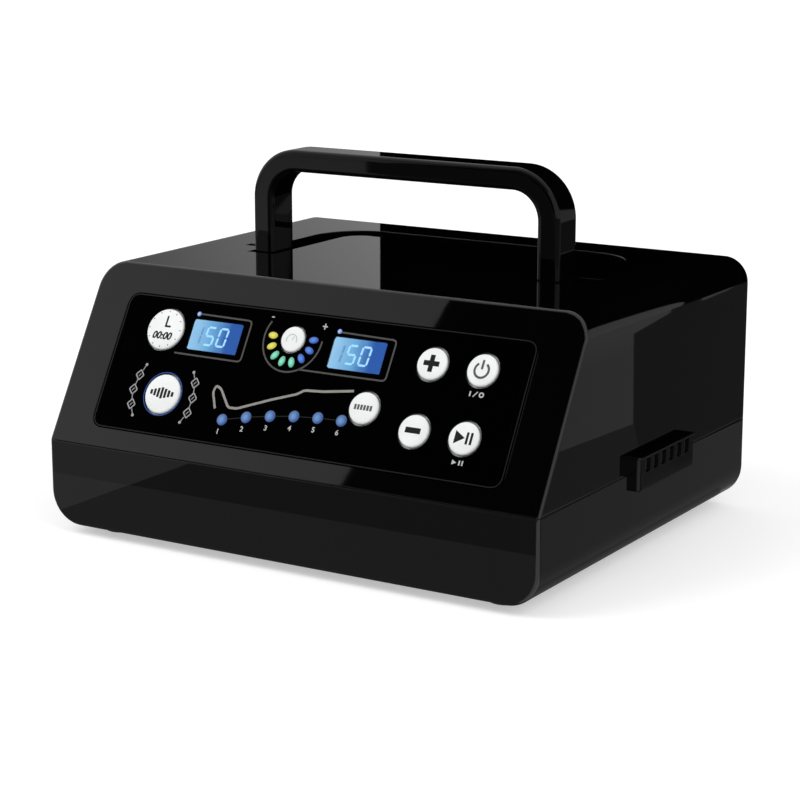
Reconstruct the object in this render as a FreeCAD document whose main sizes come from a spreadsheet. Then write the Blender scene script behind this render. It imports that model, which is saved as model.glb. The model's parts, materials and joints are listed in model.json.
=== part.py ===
import FreeCAD, Part
import os
import re
import Sketcher

# Compression therapy pump: a wedge-fronted desk unit with a folding bail handle.
# Body frame: X to the right, Y to the rear, Z up, origin under the middle of the casing's floor.
# Panel frame: U along X, V up the sloped front from the nose line, W out of the slope.
# The finished part stands on its feet, with its origin under the middle of its overall box.

SIZES = [
    # casing
    ("body_width", 260.0, "casing, side to side"),
    ("body_depth", 210.8, "casing, front to back"),
    ("body_height", 118.7, "casing floor to top face"),
    ("nose_height", 40.2, "height of the upright front, and of the seam"),
    ("slope_setback", 45.7, "how far the sloped front leans back"),
    ("wall", 2.6, "moulded wall"),
    ("top_corner_radius", 12.2, "long top corners"),
    ("bottom_corner_radius", 15.9, "long bottom corners"),
    ("outline_radius", 1.6, "rounding round the front and rear outlines"),
    ("seam_gap", 0.4, "hairline between cover and tray"),
    ("tongue_thickness", 1.5, "rim of the tray that locates the cover"),
    ("tongue_height", 2.4, "how far the rim stands above the seam"),
    ("fit_gap", 0.15, "clearance of parts that locate each other"),
    ("run_gap", 0.3, "clearance of parts that move past each other"),
    ("pin_gap", 0.05, "radial clearance of a pivot pin"),
    # feet and casing screws
    ("foot_inset_x", 26.0, "foot centre from the casing's side"),
    ("foot_inset_y", 20.4, "foot centre from the casing's front or rear"),
    ("foot_radius", 9.0, "rubber foot"),
    ("foot_height", 4.5, "foot below the casing floor"),
    ("foot_seat", 0.8, "recess that holds a foot"),
    ("foot_bevel", 0.8, "bevel of a foot's lower edge"),
    ("post_radius", 4.5, "screw posts of tray and cover"),
    ("screw_radius", 1.6, "casing screw shank"),
    ("screw_head_radius", 3.2, "casing screw head"),
    ("screw_head_height", 2.4, "casing screw head"),
    ("screw_head_level", 20.0, "seat of the head above the floor"),
    ("screw_grip", 16.0, "length of the screw in the cover's post"),
    ("pilot_spare", 2.0, "pilot hole beyond the end of its screw"),
    ("overshoot", 1.0, "how far a cutting tool runs past the face it cuts"),
    # handle and its trough
    ("handle_half_width", 83.5, "outside of a leg from the middle"),
    ("handle_leg_width", 11.2, "leg, side to side"),
    ("handle_leg_depth", 19.3, "leg, front to back"),
    ("handle_bar_height", 10.6, "grip bar"),
    ("handle_rise", 50.8, "top of the grip above the casing"),
    ("handle_corner_radius", 24.0, "outer corner"),
    ("handle_front_y", -4.0, "front face of the upright legs"),
    ("handle_sink", 0.5, "how far the folded handle lies below the top face"),
    ("handle_boss_radius", 7.0, "leg end round the pivot"),
    ("handle_edge_radius", 2.5, "rounding of the handle's edges"),
    ("pivot_inset", 3.6, "pivot in front of a leg's rear face"),
    ("pivot_pin_radius", 2.5, "handle pivot pin"),
    ("trough_side_gap", 2.2, "trough wall to leg"),
    ("trough_rear_gap", 2.4, "trough wall to the folded grip"),
    ("trough_inner_gap", 3.2, "trough wall to the inside of the folded grip"),
    ("trough_floor_gap", 1.0, "trough floor to the folded handle"),
    ("trough_wall", 2.0, "thickness of the trough's moulding"),
    ("pin_slot_reach", 12.0, "length of the slot outside the trough"),
    ("pin_slot_width", 5.4, "slot that the pin drops into"),
    ("pin_block", 3.0, "moulding round the slot"),
    # control panel
    ("overlay_half_width", 109.0, "overlay sheet"),
    ("overlay_low_v", 10.6, "lower edge of the overlay"),
    ("overlay_high_v", 75.0, "upper edge of the overlay"),
    ("overlay_corner_radius", 6.0, "overlay corners"),
    ("overlay_thickness", 0.8, "overlay sheet"),
    ("overlay_sink", 0.2, "overlay below the cover's face"),
    ("key_proud", 1.1, "key top above the cover's slope"),
    ("key_edge", 0.6, "bevel of a key's top"),
    ("key_flange", 1.0, "flange beyond the key's side"),
    ("key_flange_height", 1.2, "flange thickness"),
    ("key_travel", 0.8, "press of a key"),
    ("key_stem_radius", 2.0, "stem under a key"),
    ("time_key_u", -83.7, "time key"),
    ("mode_key_u", -74.4, "mode key"),
    ("dial_u", -13.3, "pressure key and its ring of lamps"),
    ("dial_v", 63.1, "pressure key and its ring of lamps"),
    ("zone_key_u", 33.0, "zone key"),
    ("zone_key_v", 36.2, "zone key"),
    ("sign_column_u", 60.5, "plus and minus keys"),
    ("power_column_u", 85.5, "power and start keys"),
    ("upper_row_v", 60.1, "time, plus and power keys"),
    ("lower_row_v", 29.3, "mode, minus and start keys"),
    ("time_key_radius", 10.4, "time key"),
    ("mode_key_radius", 9.9, "mode key"),
    ("dial_key_radius", 6.5, "pressure key"),
    ("key_radius", 8.0, "all other keys"),
    ("left_window_u", -55.4, "left display"),
    ("right_window_u", 21.9, "right display"),
    ("window_v", 59.6, "both displays"),
    ("window_width", 27.4, "display window"),
    ("window_height", 14.6, "display window"),
    ("window_corner_radius", 1.2, "display window corners"),
    ("display_margin", 2.2, "display module beyond its window"),
    ("display_glass", 4.0, "display module's glass"),
    ("display_step", 2.0, "display module's back in from its glass"),
    ("dial_lamp_ring", 11.0, "radius of the ring of lamps"),
    ("dial_lamp_radius", 1.5, "one lamp of the ring"),
    ("dial_lamp_count", 8, "lamps in the ring"),
    ("dial_first_angle", 176.0, "first lamp of the ring"),
    ("dial_lamp_step", 26.9, "angle between lamps"),
    ("zone_lamp_radius", 2.4, "one zone lamp"),
    ("zone_lamp_count", 6, "zone lamps"),
    ("zone_first_u", -38.2, "first zone lamp"),
    ("zone_lamp_pitch", 12.35, "between zone lamps"),
    ("zone_last_v", 29.1, "last zone lamp"),
    ("zone_rise", 7.6, "first zone lamp below the last"),
    ("board_half_width", 98.0, "control board"),
    ("board_low_v", 13.0, "control board, lower edge"),
    ("board_high_v", 76.0, "control board, upper edge"),
    ("board_level", 14.0, "control board face below the slope"),
    ("board_thickness", 1.6, "both circuit boards"),
    ("board_screw_inset", 4.0, "board screws from the board's edge"),
    ("board_screw_radius", 1.3, "board screw shank"),
    ("board_screw_head", 1.8, "height of a board screw's head"),
    ("board_screw_grip", 6.0, "length of a board screw in its post"),
    ("board_boss_radius", 3.2, "boss over a board screw"),
    ("switch_width", 6.0, "push switch body"),
    ("switch_height", 3.5, "push switch body"),
    ("switch_button_radius", 1.7, "push switch actuator"),
    ("switch_button_height", 1.0, "push switch actuator"),
    ("buzzer_radius", 6.0, "buzzer"),
    ("buzzer_height", 5.5, "buzzer"),
    ("buzzer_drop", 8.0, "buzzer below the plus key"),
    ("buzzer_hole_radius", 1.0, "buzzer's sound hole"),
    ("buzzer_hole_depth", 2.0, "buzzer's sound hole"),
    ("chip_height", 1.8, "chips on the control board"),
    ("chip_rise", 4.0, "chips above the lower row of keys"),
    ("left_chip", 14.0, "side of the chip behind the left display"),
    ("middle_chip", 10.0, "side of the chip behind the pressure key"),
    ("right_chip", 7.0, "side of the chip behind the right display"),
    # hose outlet
    ("outlet_low_y", -31.3, "front end of the outlet block"),
    ("outlet_length", 56.3, "outlet block along the wall"),
    ("outlet_low_z", 35.5, "underside of the outlet's lip"),
    ("outlet_high_z", 50.8, "top of the outlet block"),
    ("outlet_reach", 10.0, "outlet block out of the wall"),
    ("outlet_lip_height", 6.3, "lip below the block"),
    ("outlet_lip_gap", 3.5, "lip to the wall"),
    ("outlet_edge_radius", 0.7, "rounding of the block"),
    ("outlet_corner_radius", 1.8, "rounding of the block's front upright edge"),
    ("outlet_recess", 0.6, "depth of the panel round the ports' mouths"),
    ("outlet_rim", 2.4, "flat rim in front of the recessed panel"),
    ("outlet_neck_reach", 7.0, "neck inside the wall"),
    ("outlet_neck_margin", 1.6, "block beyond its neck"),
    ("port_count", 6, "hose ports, one for each zone"),
    ("port_pitch", 8.0, "between ports"),
    ("port_slot_width", 5.4, "mouth of a port"),
    ("port_slot_height", 6.6, "mouth of a port"),
    ("port_slot_depth", 2.5, "mouth of a port"),
    ("port_radius", 2.0, "bore of a port"),
    ("port_depth", 8.0, "bore of a port"),
    # hoses
    ("hose_radius", 3.7, "all inner hoses"),
    ("nipple_radius", 2.5, "hose nipples"),
    ("nipple_bore", 1.3, "air way through a nipple"),
    ("nipple_length", 6.0, "hose nipples"),
    ("hose_bend", 12.0, "bend radius of the supply hose"),
    ("bridge_bend", 9.0, "bend radius of the bridge hose"),
    # valves
    ("manifold_inset", 64.0, "left face of the manifold from the casing's right side"),
    ("manifold_length", 40.0, "manifold along X"),
    ("manifold_width", 56.0, "manifold along Y"),
    ("manifold_height", 13.0, "manifold"),
    ("manifold_y", -3.0, "middle of the manifold and of its valves"),
    ("pillar_size", 6.0, "pillars under the manifold"),
    ("manifold_way", 4.0, "depth of an air way in the manifold"),
    ("valve_radius", 7.5, "coil can"),
    ("valve_height", 22.0, "coil can"),
    ("valve_pitch", 18.0, "between valves, both ways"),
    ("plunger_radius", 3.0, "valve plunger"),
    ("plunger_length", 15.0, "valve plunger"),
    ("plunger_seat", 2.0, "plunger's end below the coil can"),
    ("plunger_travel", 1.2, "lift of a plunger"),
    # compressor
    ("compressor_x", -10.0, "middle of the compressor"),
    ("compressor_y", 38.0, "middle of the compressor"),
    ("mount_height", 8.0, "rubber mounts"),
    ("mount_radius", 5.0, "rubber mounts"),
    ("mount_x", 44.0, "rubber mount from the middle"),
    ("mount_y", 22.0, "rubber mount from the middle"),
    ("base_half_length", 50.0, "compressor base plate"),
    ("base_half_width", 30.0, "compressor base plate"),
    ("base_thickness", 3.0, "compressor base plate"),
    ("core_half_width", 11.0, "laminated core"),
    ("core_half_depth", 16.0, "laminated core"),
    ("core_height", 40.0, "laminated core"),
    ("coil_thickness", 6.0, "winding round the core"),
    ("coil_height", 22.0, "winding round the core"),
    ("arm_x", 22.0, "swing arm from the middle"),
    ("arm_pin_y", 25.0, "swing arm's pin"),
    ("arm_pin_radius", 1.5, "swing arm's pin"),
    ("arm_barrel_radius", 3.4, "swing arm's bearing"),
    ("arm_thickness", 3.0, "swing arm"),
    ("arm_height", 24.0, "swing arm"),
    ("arm_reach", 49.0, "swing arm from its pin"),
    ("arm_level", 20.0, "middle of the arms above the base plate"),
    ("arm_pin_stand", 2.0, "pin above the swing arm"),
    ("magnet_thickness", 2.2, "magnet on the arm"),
    ("magnet_length", 20.0, "magnet on the arm"),
    ("magnet_height", 14.0, "magnet on the arm"),
    ("diaphragm_gap", 1.7, "diaphragm to the arm at rest"),
    ("diaphragm_thickness", 3.3, "rubber diaphragm"),
    ("diaphragm_radius", 14.0, "rubber diaphragm"),
    ("head_length", 21.0, "compressor head along X"),
    ("head_half_width", 20.0, "compressor head along Y"),
    ("head_height", 38.0, "compressor head"),
    ("head_nipple_inset", 10.0, "top nipple from the head's outer face"),
    ("head_way_depth", 8.0, "air way in a head"),
    ("bridge_rise", 3.0, "straight of the bridge hose above a head"),
    ("filter_radius", 7.0, "inlet filter"),
    ("filter_length", 6.0, "inlet filter"),
    # mains inlet and power board
    ("inlet_inset", 68.0, "middle of the mains inlet from the casing's left side"),
    ("inlet_z", 19.0, "middle of the mains inlet"),
    ("inlet_width", 27.0, "mains inlet body"),
    ("inlet_height", 20.0, "mains inlet body"),
    ("inlet_depth", 22.0, "mains inlet body"),
    ("inlet_wall", 1.6, "wall of the socket"),
    ("inlet_flange_width", 48.0, "flange behind the casing wall"),
    ("inlet_flange_thickness", 2.5, "flange behind the casing wall"),
    ("inlet_flange_margin", 1.0, "flange above and below the socket"),
    ("inlet_screw_x", 20.0, "inlet screw from the middle"),
    ("inlet_screw_radius", 1.5, "inlet screw shank"),
    ("inlet_screw_head_radius", 2.7, "inlet screw head"),
    ("inlet_screw_head_height", 1.6, "inlet screw head"),
    ("mains_pin_pitch", 7.0, "between the outer pins and the earth pin"),
    ("mains_pin_width", 2.0, "mains pin"),
    ("mains_pin_height", 4.0, "mains pin"),
    ("mains_pin_recess", 6.0, "pin tip inside the socket's mouth"),
    ("mains_pin_tail", 5.0, "pin behind the socket"),
    ("mains_pin_offset", 2.0, "pins above and below the socket's middle"),
    ("power_board_inset", 33.0, "middle of the power board from the casing's left side"),
    ("power_board_half_width", 23.0, "power board"),
    ("power_board_half_depth", 52.0, "power board"),
    ("power_board_level", 8.0, "power board above the floor"),
    ("power_post_radius", 3.4, "posts under the power board"),
    ("transformer_height", 26.0, "transformer on the power board"),
    ("transformer_half_width", 14.0, "transformer"),
    ("transformer_length", 30.0, "transformer"),
    ("transformer_front", 12.0, "front face of the transformer"),
    ("relay_height", 13.0, "relay on the power board"),
    ("relay_half_width", 8.0, "relay"),
    ("relay_length", 18.0, "relay"),
    ("relay_front", -44.0, "front face of the relay"),
    ("capacitor_y", -8.0, "middle of the capacitors"),
    ("capacitor_gap", 4.0, "between the two capacitors"),
    ("capacitor_radius", 6.0, "capacitors on the power board"),
    ("capacitor_height", 18.0, "capacitors on the power board"),
    # vents
    ("vent_count", 10, "slots in the rear wall"),
    ("vent_pitch", 7.0, "between slots"),
    ("vent_width", 3.0, "one slot"),
    ("vent_height", 30.0, "one slot"),
    ("vent_x", 42.0, "middle of the row of slots"),
    ("vent_z", 78.0, "middle of the row of slots"),
]
VALUES = {name: value for name, value, meaning in SIZES}

# Worked-out sizes, written as formulas of the sheet's names.
SLOPE = "atan(slope_setback / (body_height - nose_height))"
LEAN = f"90 deg - {SLOPE}"
SHIFT_X = "-outlet_reach / 2"
FRONT = "-body_depth / 2"
REAR = "body_depth / 2"
RIGHT = "body_width / 2"
FOOT_X = f"({RIGHT} - foot_inset_x)"
FOOT_Y = f"({REAR} - foot_inset_y)"
INLET_X = f"(inlet_inset - {RIGHT})"
POWER_BOARD_X = f"(power_board_inset - {RIGHT})"
MANIFOLD_X = f"({RIGHT} - manifold_inset)"
FOLD_FLOOR = "(body_height - handle_sink - handle_leg_depth)"
PIVOT_Y = "(handle_front_y + handle_leg_depth - pivot_inset)"
PIVOT_Z = f"({FOLD_FLOOR} + pivot_inset)"
FOLD_REACH = f"(body_height + handle_rise - {PIVOT_Z})"
BOARD_FACE = "-board_level"
PORT_Z = "(outlet_low_z + outlet_lip_height + outlet_high_z) / 2"
PORT_MIDDLE_Y = "(outlet_low_y + outlet_length / 2)"
NECK_END = f"({RIGHT} - wall - outlet_neck_reach)"
MANIFOLD_TOP = f"({PORT_Z} + manifold_height / 2)"
BASE_TOP = "(wall + mount_height + base_thickness)"
HEAD_INNER = "(arm_x + arm_thickness / 2 + diaphragm_gap + diaphragm_thickness)"
HEAD_TOP = f"({BASE_TOP} + head_height)"
ARM_MIDDLE_Z = f"({BASE_TOP} + arm_level)"

NEAR = 0.1  # mm within which two places count as the same
SIDES = ((-1, "left"), (1, "right"))

DOC = FreeCAD.newDocument("compression_therapy_pump")
SHEET = DOC.addObject("Spreadsheet::Sheet", "Dims")
PIECES = []


def fill_sheet():
    """Writes every size to the sheet: its name, its value as an aliased cell, and its meaning."""
    for row, (name, value, meaning) in enumerate(SIZES, 1):
        SHEET.set(f"A{row}", name)
        SHEET.set(f"B{row}", str(value))
        SHEET.set(f"C{row}", meaning)
        SHEET.setAlias(f"B{row}", name)
    DOC.recompute()


def size(name):
    """The value that the sheet holds under a name."""
    return float(SHEET.get(name))


def tie(formula):
    """A formula with the sheet's name put before each size in it."""
    def with_sheet(word):
        return "Dims." + word[0] if word[0] in VALUES else word[0]

    return re.sub(r"[a-z][a-z0-9_]*", with_sheet, str(formula))


def bind(thing, formulas):
    """Binds each property of an object to a formula."""
    for path, formula in formulas.items():
        thing.setExpression(path, tie(formula))
    return thing


def put(thing, x=0, y=0, z=0):
    """Puts an object's origin at a point of the body frame."""
    return bind(thing, {"Placement.Base.x": x, "Placement.Base.y": y, "Placement.Base.z": z})


def lean(thing, u=0, v=0, w=0, shift_x="0", shift_z="0"):
    """Puts an object at a point of the panel frame, with its own Z out of the slope."""
    thing.Placement.Rotation = FreeCAD.Rotation(FreeCAD.Vector(1, 0, 0), 60)
    bind(thing, {"Placement.Rotation.Angle": LEAN})
    y = f"{FRONT} + ({v}) * sin({SLOPE}) - ({w}) * cos({SLOPE})"
    z = f"nose_height + ({v}) * cos({SLOPE}) + ({w}) * sin({SLOPE})"
    return put(thing, f"({u}) + {shift_x}", y, f"{z} + {shift_z}")


def piece(label, thing, slope=None, floor=("0", "0")):
    """Names a finished sub-part and stands it in the part's frame, on the slope or on the floor."""
    thing.Label = label
    if slope is None:
        put(thing, f"{floor[0]} + {SHIFT_X}", floor[1], "foot_height")
    else:
        lean(thing, *slope, shift_x=SHIFT_X, shift_z="foot_height")
    PIECES.append(thing)
    return thing


# ---- plain solids ---------------------------------------------------------------------------------

def box(name, x, y, z):
    """A box between two formulas along each axis."""
    made = DOC.addObject("Part::Box", name)
    sides = {"Length": x, "Width": y, "Height": z}
    bind(made, {side: f"({high}) - ({low})" for side, (low, high) in sides.items()})
    return put(made, x[0], y[0], z[0])


def rod(name, axis, radius, ends, across):
    """A cylinder along an axis between two ends; `across` gives its other two coordinates in order."""
    made = DOC.addObject("Part::Cylinder", name)
    bind(made, {"Radius": radius, "Height": f"({ends[1]}) - ({ends[0]})"})
    if axis == "X":
        made.Placement.Rotation = FreeCAD.Rotation(FreeCAD.Vector(0, 1, 0), 90)
        return put(made, ends[0], *across)
    if axis == "Y":
        made.Placement.Rotation = FreeCAD.Rotation(FreeCAD.Vector(1, 0, 0), -90)
        return put(made, across[0], ends[0], across[1])
    return put(made, *across, ends[0])


def elbow(name, radius, bend, centre, start, finish):
    """A quarter bend of a round bar, from the `start` direction to the `finish` direction."""
    made = DOC.addObject("Part::Torus", name)
    made.Angle3 = 90
    first = FreeCAD.Vector(*start)
    last = FreeCAD.Vector(*finish)
    made.Placement.Rotation = FreeCAD.Rotation(first, last, first.cross(last), "XYZ")
    bind(made, {"Radius1": bend, "Radius2": radius})
    return put(made, *centre)


def cut(name, base, tool):
    """The base without the tool."""
    made = DOC.addObject("Part::Cut", name)
    made.Base = base
    made.Tool = tool
    return made


def group(name, parts):
    """One or more separate solids that are one node."""
    made = DOC.addObject("Part::Compound", name)
    made.Links = parts
    return made


def fuse(name, parts):
    """Several solids joined into one."""
    if len(parts) == 1:
        return group(name, parts)
    made = DOC.addObject("Part::MultiFuse", name)
    made.Shapes = parts
    return made


def common(name, first, second):
    """What two solids share."""
    made = DOC.addObject("Part::Common", name)
    made.Base = first
    made.Tool = second
    return made


# ---- sketched solids ------------------------------------------------------------------------------

def new_body(name):
    """An empty body."""
    return DOC.addObject("PartDesign::Body", name)


def new_sketch(body, plane, offset="0"):
    """A sketch on one of its body's own origin planes."""
    sketch = body.newObject("Sketcher::SketchObject", body.Name + "_sketch")
    origin = [feature for feature in body.Origin.OriginFeatures if feature.Role == plane]
    sketch.AttachmentSupport = [(origin[0], "")]
    sketch.MapMode = "FlatFace"
    return bind(sketch, {"AttachmentOffset.Base.z": offset})


def pin_point(sketch, line, point, across, up):
    """Holds a point of a sketch at two formulas from the sketch's origin."""
    for kind, formula in (("DistanceX", across), ("DistanceY", up)):
        number = sketch.addConstraint(Sketcher.Constraint(kind, -1, 1, line, point, 1.0))
        sketch.setExpression(f"Constraints[{number}]", tie(formula))


def polygon(body, plane, corners, offset="0"):
    """A closed outline of straight lines whose corners are pairs of formulas."""
    sketch = new_sketch(body, plane, offset)
    count = len(corners)
    round_about = [FreeCAD.Rotation(FreeCAD.Vector(0, 0, 1), 360 * n / count) for n in range(count)]
    loose = [turn.multVec(FreeCAD.Vector(size("wall"), 0, 0)) for turn in round_about]
    for n in range(count):
        sketch.addGeometry(Part.LineSegment(loose[n], loose[(n + 1) % count]), False)
    for n in range(count):
        sketch.addConstraint(Sketcher.Constraint("Coincident", n, 2, (n + 1) % count, 1))
    for n, (across, up) in enumerate(corners):
        pin_point(sketch, n, 1, across, up)
    return sketch


def rectangle(low, high):
    """The four corners of a rectangle between two corners."""
    return [(low[0], low[1]), (high[0], low[1]), (high[0], high[1]), (low[0], high[1])]


def pad(body, sketch, length, both_ways=False, backwards=False):
    """Adds a sketch's outline to its body as a slab."""
    made = body.newObject("PartDesign::Pad", body.Name + "_pad")
    made.Profile = sketch
    made.Midplane = both_ways
    made.Reversed = backwards
    return bind(made, {"Length": length})


def pocket(body, sketch, length, both_ways=False, backwards=False):
    """Cuts a sketch's outline out of its body."""
    made = body.newObject("PartDesign::Pocket", body.Name + "_pocket")
    made.Profile = sketch
    made.Midplane = both_ways
    made.Reversed = backwards
    return bind(made, {"Length": length})


def revolve(body, sketch):
    """Turns a sketch's outline about its own upright axis."""
    made = body.newObject("PartDesign::Revolution", body.Name + "_turned")
    made.Profile = sketch
    made.ReferenceAxis = (sketch, ["V_Axis"])
    made.Angle = 360
    return made


def rounded(body, radius, wanted):
    """Rounds those edges of a body that pass a test of their middle point and direction."""
    DOC.recompute()
    last = body.Tip
    names = []
    for number, edge in enumerate(last.Shape.Edges, 1):
        middle = edge.valueAt((edge.FirstParameter + edge.LastParameter) / 2)
        along = edge.tangentAt((edge.FirstParameter + edge.LastParameter) / 2)
        if wanted(middle, along):
            names.append(f"Edge{number}")
    made = body.newObject("PartDesign::Fillet", body.Name + "_rounding")
    made.Base = (last, names)
    return bind(made, {"Radius": radius})


# ---- casing ---------------------------------------------------------------------------------------

def casing_form(name, inset):
    """The casing's outer form, moved inwards by an inset: a rounded bar with a sloped front."""
    body = new_body(name)
    low = (f"-{RIGHT} + {inset}", inset)
    high = (f"{RIGHT} - {inset}", f"body_height - {inset}")
    pad(body, polygon(body, "XZ_Plane", rectangle(low, high)), f"body_depth - 2 * ({inset})", both_ways=True)
    half_height = size("body_height") / 2
    rounded(body, f"top_corner_radius - {inset}", lambda at, way: abs(way.y) > 0.9 and at.z > half_height)
    rounded(body, f"bottom_corner_radius - {inset}", lambda at, way: abs(way.y) > 0.9 and at.z < half_height)
    run = f"({inset}) / cos({SLOPE}) + (body_height - nose_height - ({inset})) * tan({SLOPE})"
    wedge = [
        (f"{FRONT} + {inset}", f"nose_height - ({inset}) * tan({SLOPE} / 2)"),
        (f"{FRONT} + {run}", f"body_height - {inset}"),
        (f"{FRONT} + {inset}", f"body_height - {inset}"),
    ]
    pocket(body, polygon(body, "YZ_Plane", wedge), "body_width", both_ways=True)
    return body


def round_outline(body):
    """Rounds the edges all round the casing's front and rear."""
    front = -size("body_depth") / 2
    nose = size("nose_height")
    lean_back = size("slope_setback") / (size("body_height") - nose)

    def on_outline(at, way):
        on_front = abs(at.y - front) < NEAR
        on_slope = abs(at.y - front - (at.z - nose) * lean_back) < NEAR
        on_nose = on_front and on_slope
        on_rear = abs(at.y + front) < NEAR
        return (on_front or on_slope or on_rear) and not on_nose

    rounded(body, "outline_radius", on_outline)


def trough_form(name, spread, low_z, high_z):
    """The U-shaped room that the folded handle lies in, grown by a spread."""
    body = new_body(name)
    outer = f"handle_half_width + trough_side_gap + {spread}"
    inner = f"handle_half_width - handle_leg_width - trough_side_gap - {spread}"
    rear = f"{PIVOT_Y} + {FOLD_REACH} + trough_rear_gap + {spread}"
    rear_inner = f"{PIVOT_Y} + {FOLD_REACH} - handle_bar_height - trough_inner_gap - {spread}"
    front = f"handle_front_y - trough_side_gap - {spread}"
    middle_y = size("handle_front_y") + size("handle_rise")
    inner_x = size("handle_half_width") - size("handle_leg_width")
    plan = polygon(body, "XY_Plane", rectangle((f"-({outer})", front), (outer, rear)), low_z)
    pad(body, plan, f"({high_z}) - ({low_z})")
    rounded(body, f"handle_corner_radius + trough_side_gap + {spread}",
            lambda at, way: abs(way.z) > 0.9 and at.y > middle_y)
    corners = rectangle((f"-({inner})", f"{front} - overshoot"), (inner, rear_inner))
    pocket(body, polygon(body, "XY_Plane", corners, high_z), f"({high_z}) - ({low_z})")
    rounded(body, f"handle_corner_radius - handle_bar_height - trough_side_gap - {spread}",
            lambda at, way: abs(way.z) > 0.9 and at.y > middle_y and abs(at.x) < inner_x)
    return body


def pivot_well(name, side, spread):
    """The deeper room round one leg's pivot, grown by a spread."""
    outer = f"handle_half_width + trough_side_gap + {spread}"
    inner = f"handle_half_width - handle_leg_width - trough_side_gap - {spread}"
    x = (inner, outer) if side > 0 else (f"-({outer})", f"-({inner})")
    y = (f"handle_front_y - trough_side_gap - {spread}",
         f"{PIVOT_Y} + handle_boss_radius + trough_side_gap + {spread}")
    z = (f"{PIVOT_Z} - handle_boss_radius - trough_floor_gap - {spread}", "body_height")
    return box(name, x, y, z)


def pin_slot(name, side, margin, low):
    """The slot outside the trough that a pivot pin lies in, or the moulding round it."""
    start = "handle_half_width + trough_side_gap - trough_wall / 2"
    end = f"handle_half_width + trough_side_gap + pin_slot_reach + {margin}"
    x = (start, end) if side > 0 else (f"-({end})", f"-({start})")
    y = (f"{PIVOT_Y} - pin_slot_width / 2 - {margin}", f"{PIVOT_Y} + pin_slot_width / 2 + {margin}")
    return box(name, x, y, (f"{PIVOT_Z} - {low}", "body_height"))


def key_list():
    """Each key's name, its place on the panel and its radius."""
    return [
        ("time_key", "time_key_u", "upper_row_v", "time_key_radius"),
        ("mode_key", "mode_key_u", "lower_row_v", "mode_key_radius"),
        ("pressure_key", "dial_u", "dial_v", "dial_key_radius"),
        ("zone_key", "zone_key_u", "zone_key_v", "key_radius"),
        ("plus_key", "sign_column_u", "upper_row_v", "key_radius"),
        ("minus_key", "sign_column_u", "lower_row_v", "key_radius"),
        ("power_key", "power_column_u", "upper_row_v", "key_radius"),
        ("start_key", "power_column_u", "lower_row_v", "key_radius"),
    ]


def window_list():
    """Each display window's name and middle along U."""
    return [("left", "left_window_u"), ("right", "right_window_u")]


def dial_lamps():
    """The places of the lamps round the pressure key."""
    numbers = range(int(size("dial_lamp_count")))
    angles = [f"(dial_first_angle + {n} * dial_lamp_step) * 1 deg" for n in numbers]
    return [(f"dial_u + dial_lamp_ring * cos({a})", f"dial_v + dial_lamp_ring * sin({a})") for a in angles]


def zone_lamps():
    """The places of the zone lamps, on a gentle curve that levels out to the right."""
    last = "(zone_lamp_count - 1)"
    numbers = range(int(size("zone_lamp_count")))
    along = [f"(1 - {n} / {last})" for n in numbers]
    return [(f"zone_first_u + {n} * zone_lamp_pitch", f"zone_last_v - zone_rise * {along[n]} * {along[n]}")
            for n in numbers]


def panel_openings(name, top, bottom, gap):
    """Everything that passes through the panel, between two levels of its own frame."""
    cuts = []
    for key, u, v, radius in key_list():
        cuts.append(rod(f"{name}_{key}", "Z", f"{radius} + run_gap", (bottom, top), (u, v)))
    for side, u in window_list():
        half_width = f"(window_width / 2 + {gap})"
        half_height = f"(window_height / 2 + {gap})"
        cuts.append(box(f"{name}_{side}_window", (f"{u} - {half_width}", f"{u} + {half_width}"),
                        (f"window_v - {half_height}", f"window_v + {half_height}"), (bottom, top)))
    for n, (u, v) in enumerate(dial_lamps()):
        cuts.append(rod(f"{name}_dial_lamp_{n}", "Z", f"dial_lamp_radius + {gap}", (bottom, top), (u, v)))
    for n, (u, v) in enumerate(zone_lamps()):
        cuts.append(rod(f"{name}_zone_lamp_{n}", "Z", f"zone_lamp_radius + {gap}", (bottom, top), (u, v)))
    return fuse(name, cuts)


def overlay_sheet(name, grow, bottom, top):
    """A sheet of the overlay's outline, grown by a clearance, between two levels of the panel frame."""
    body = new_body(name)
    corners = rectangle((f"-overlay_half_width - {grow}", f"overlay_low_v - {grow}"),
                        (f"overlay_half_width + {grow}", f"overlay_high_v + {grow}"))
    pad(body, polygon(body, "XY_Plane", corners, bottom), f"({top}) - ({bottom})")
    rounded(body, f"overlay_corner_radius + {grow}", lambda at, way: abs(way.z) > 0.9)
    return body


def board_corners():
    """The places of the control board's screws."""
    u = "(board_half_width - board_screw_inset)"
    low = "board_low_v + board_screw_inset"
    high = "board_high_v - board_screw_inset"
    return [(f"-{u}", low), (u, low), (f"-{u}", high), (u, high)]


def post_places():
    """The places of the feet, of the casing screws and of their posts."""
    rows = (("front", f"-{FOOT_Y}"), ("rear", FOOT_Y))
    columns = (("left", f"-{FOOT_X}"), ("right", FOOT_X))
    return [(f"{row}_{column}", x, y) for row, y in rows for column, x in columns]


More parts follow.
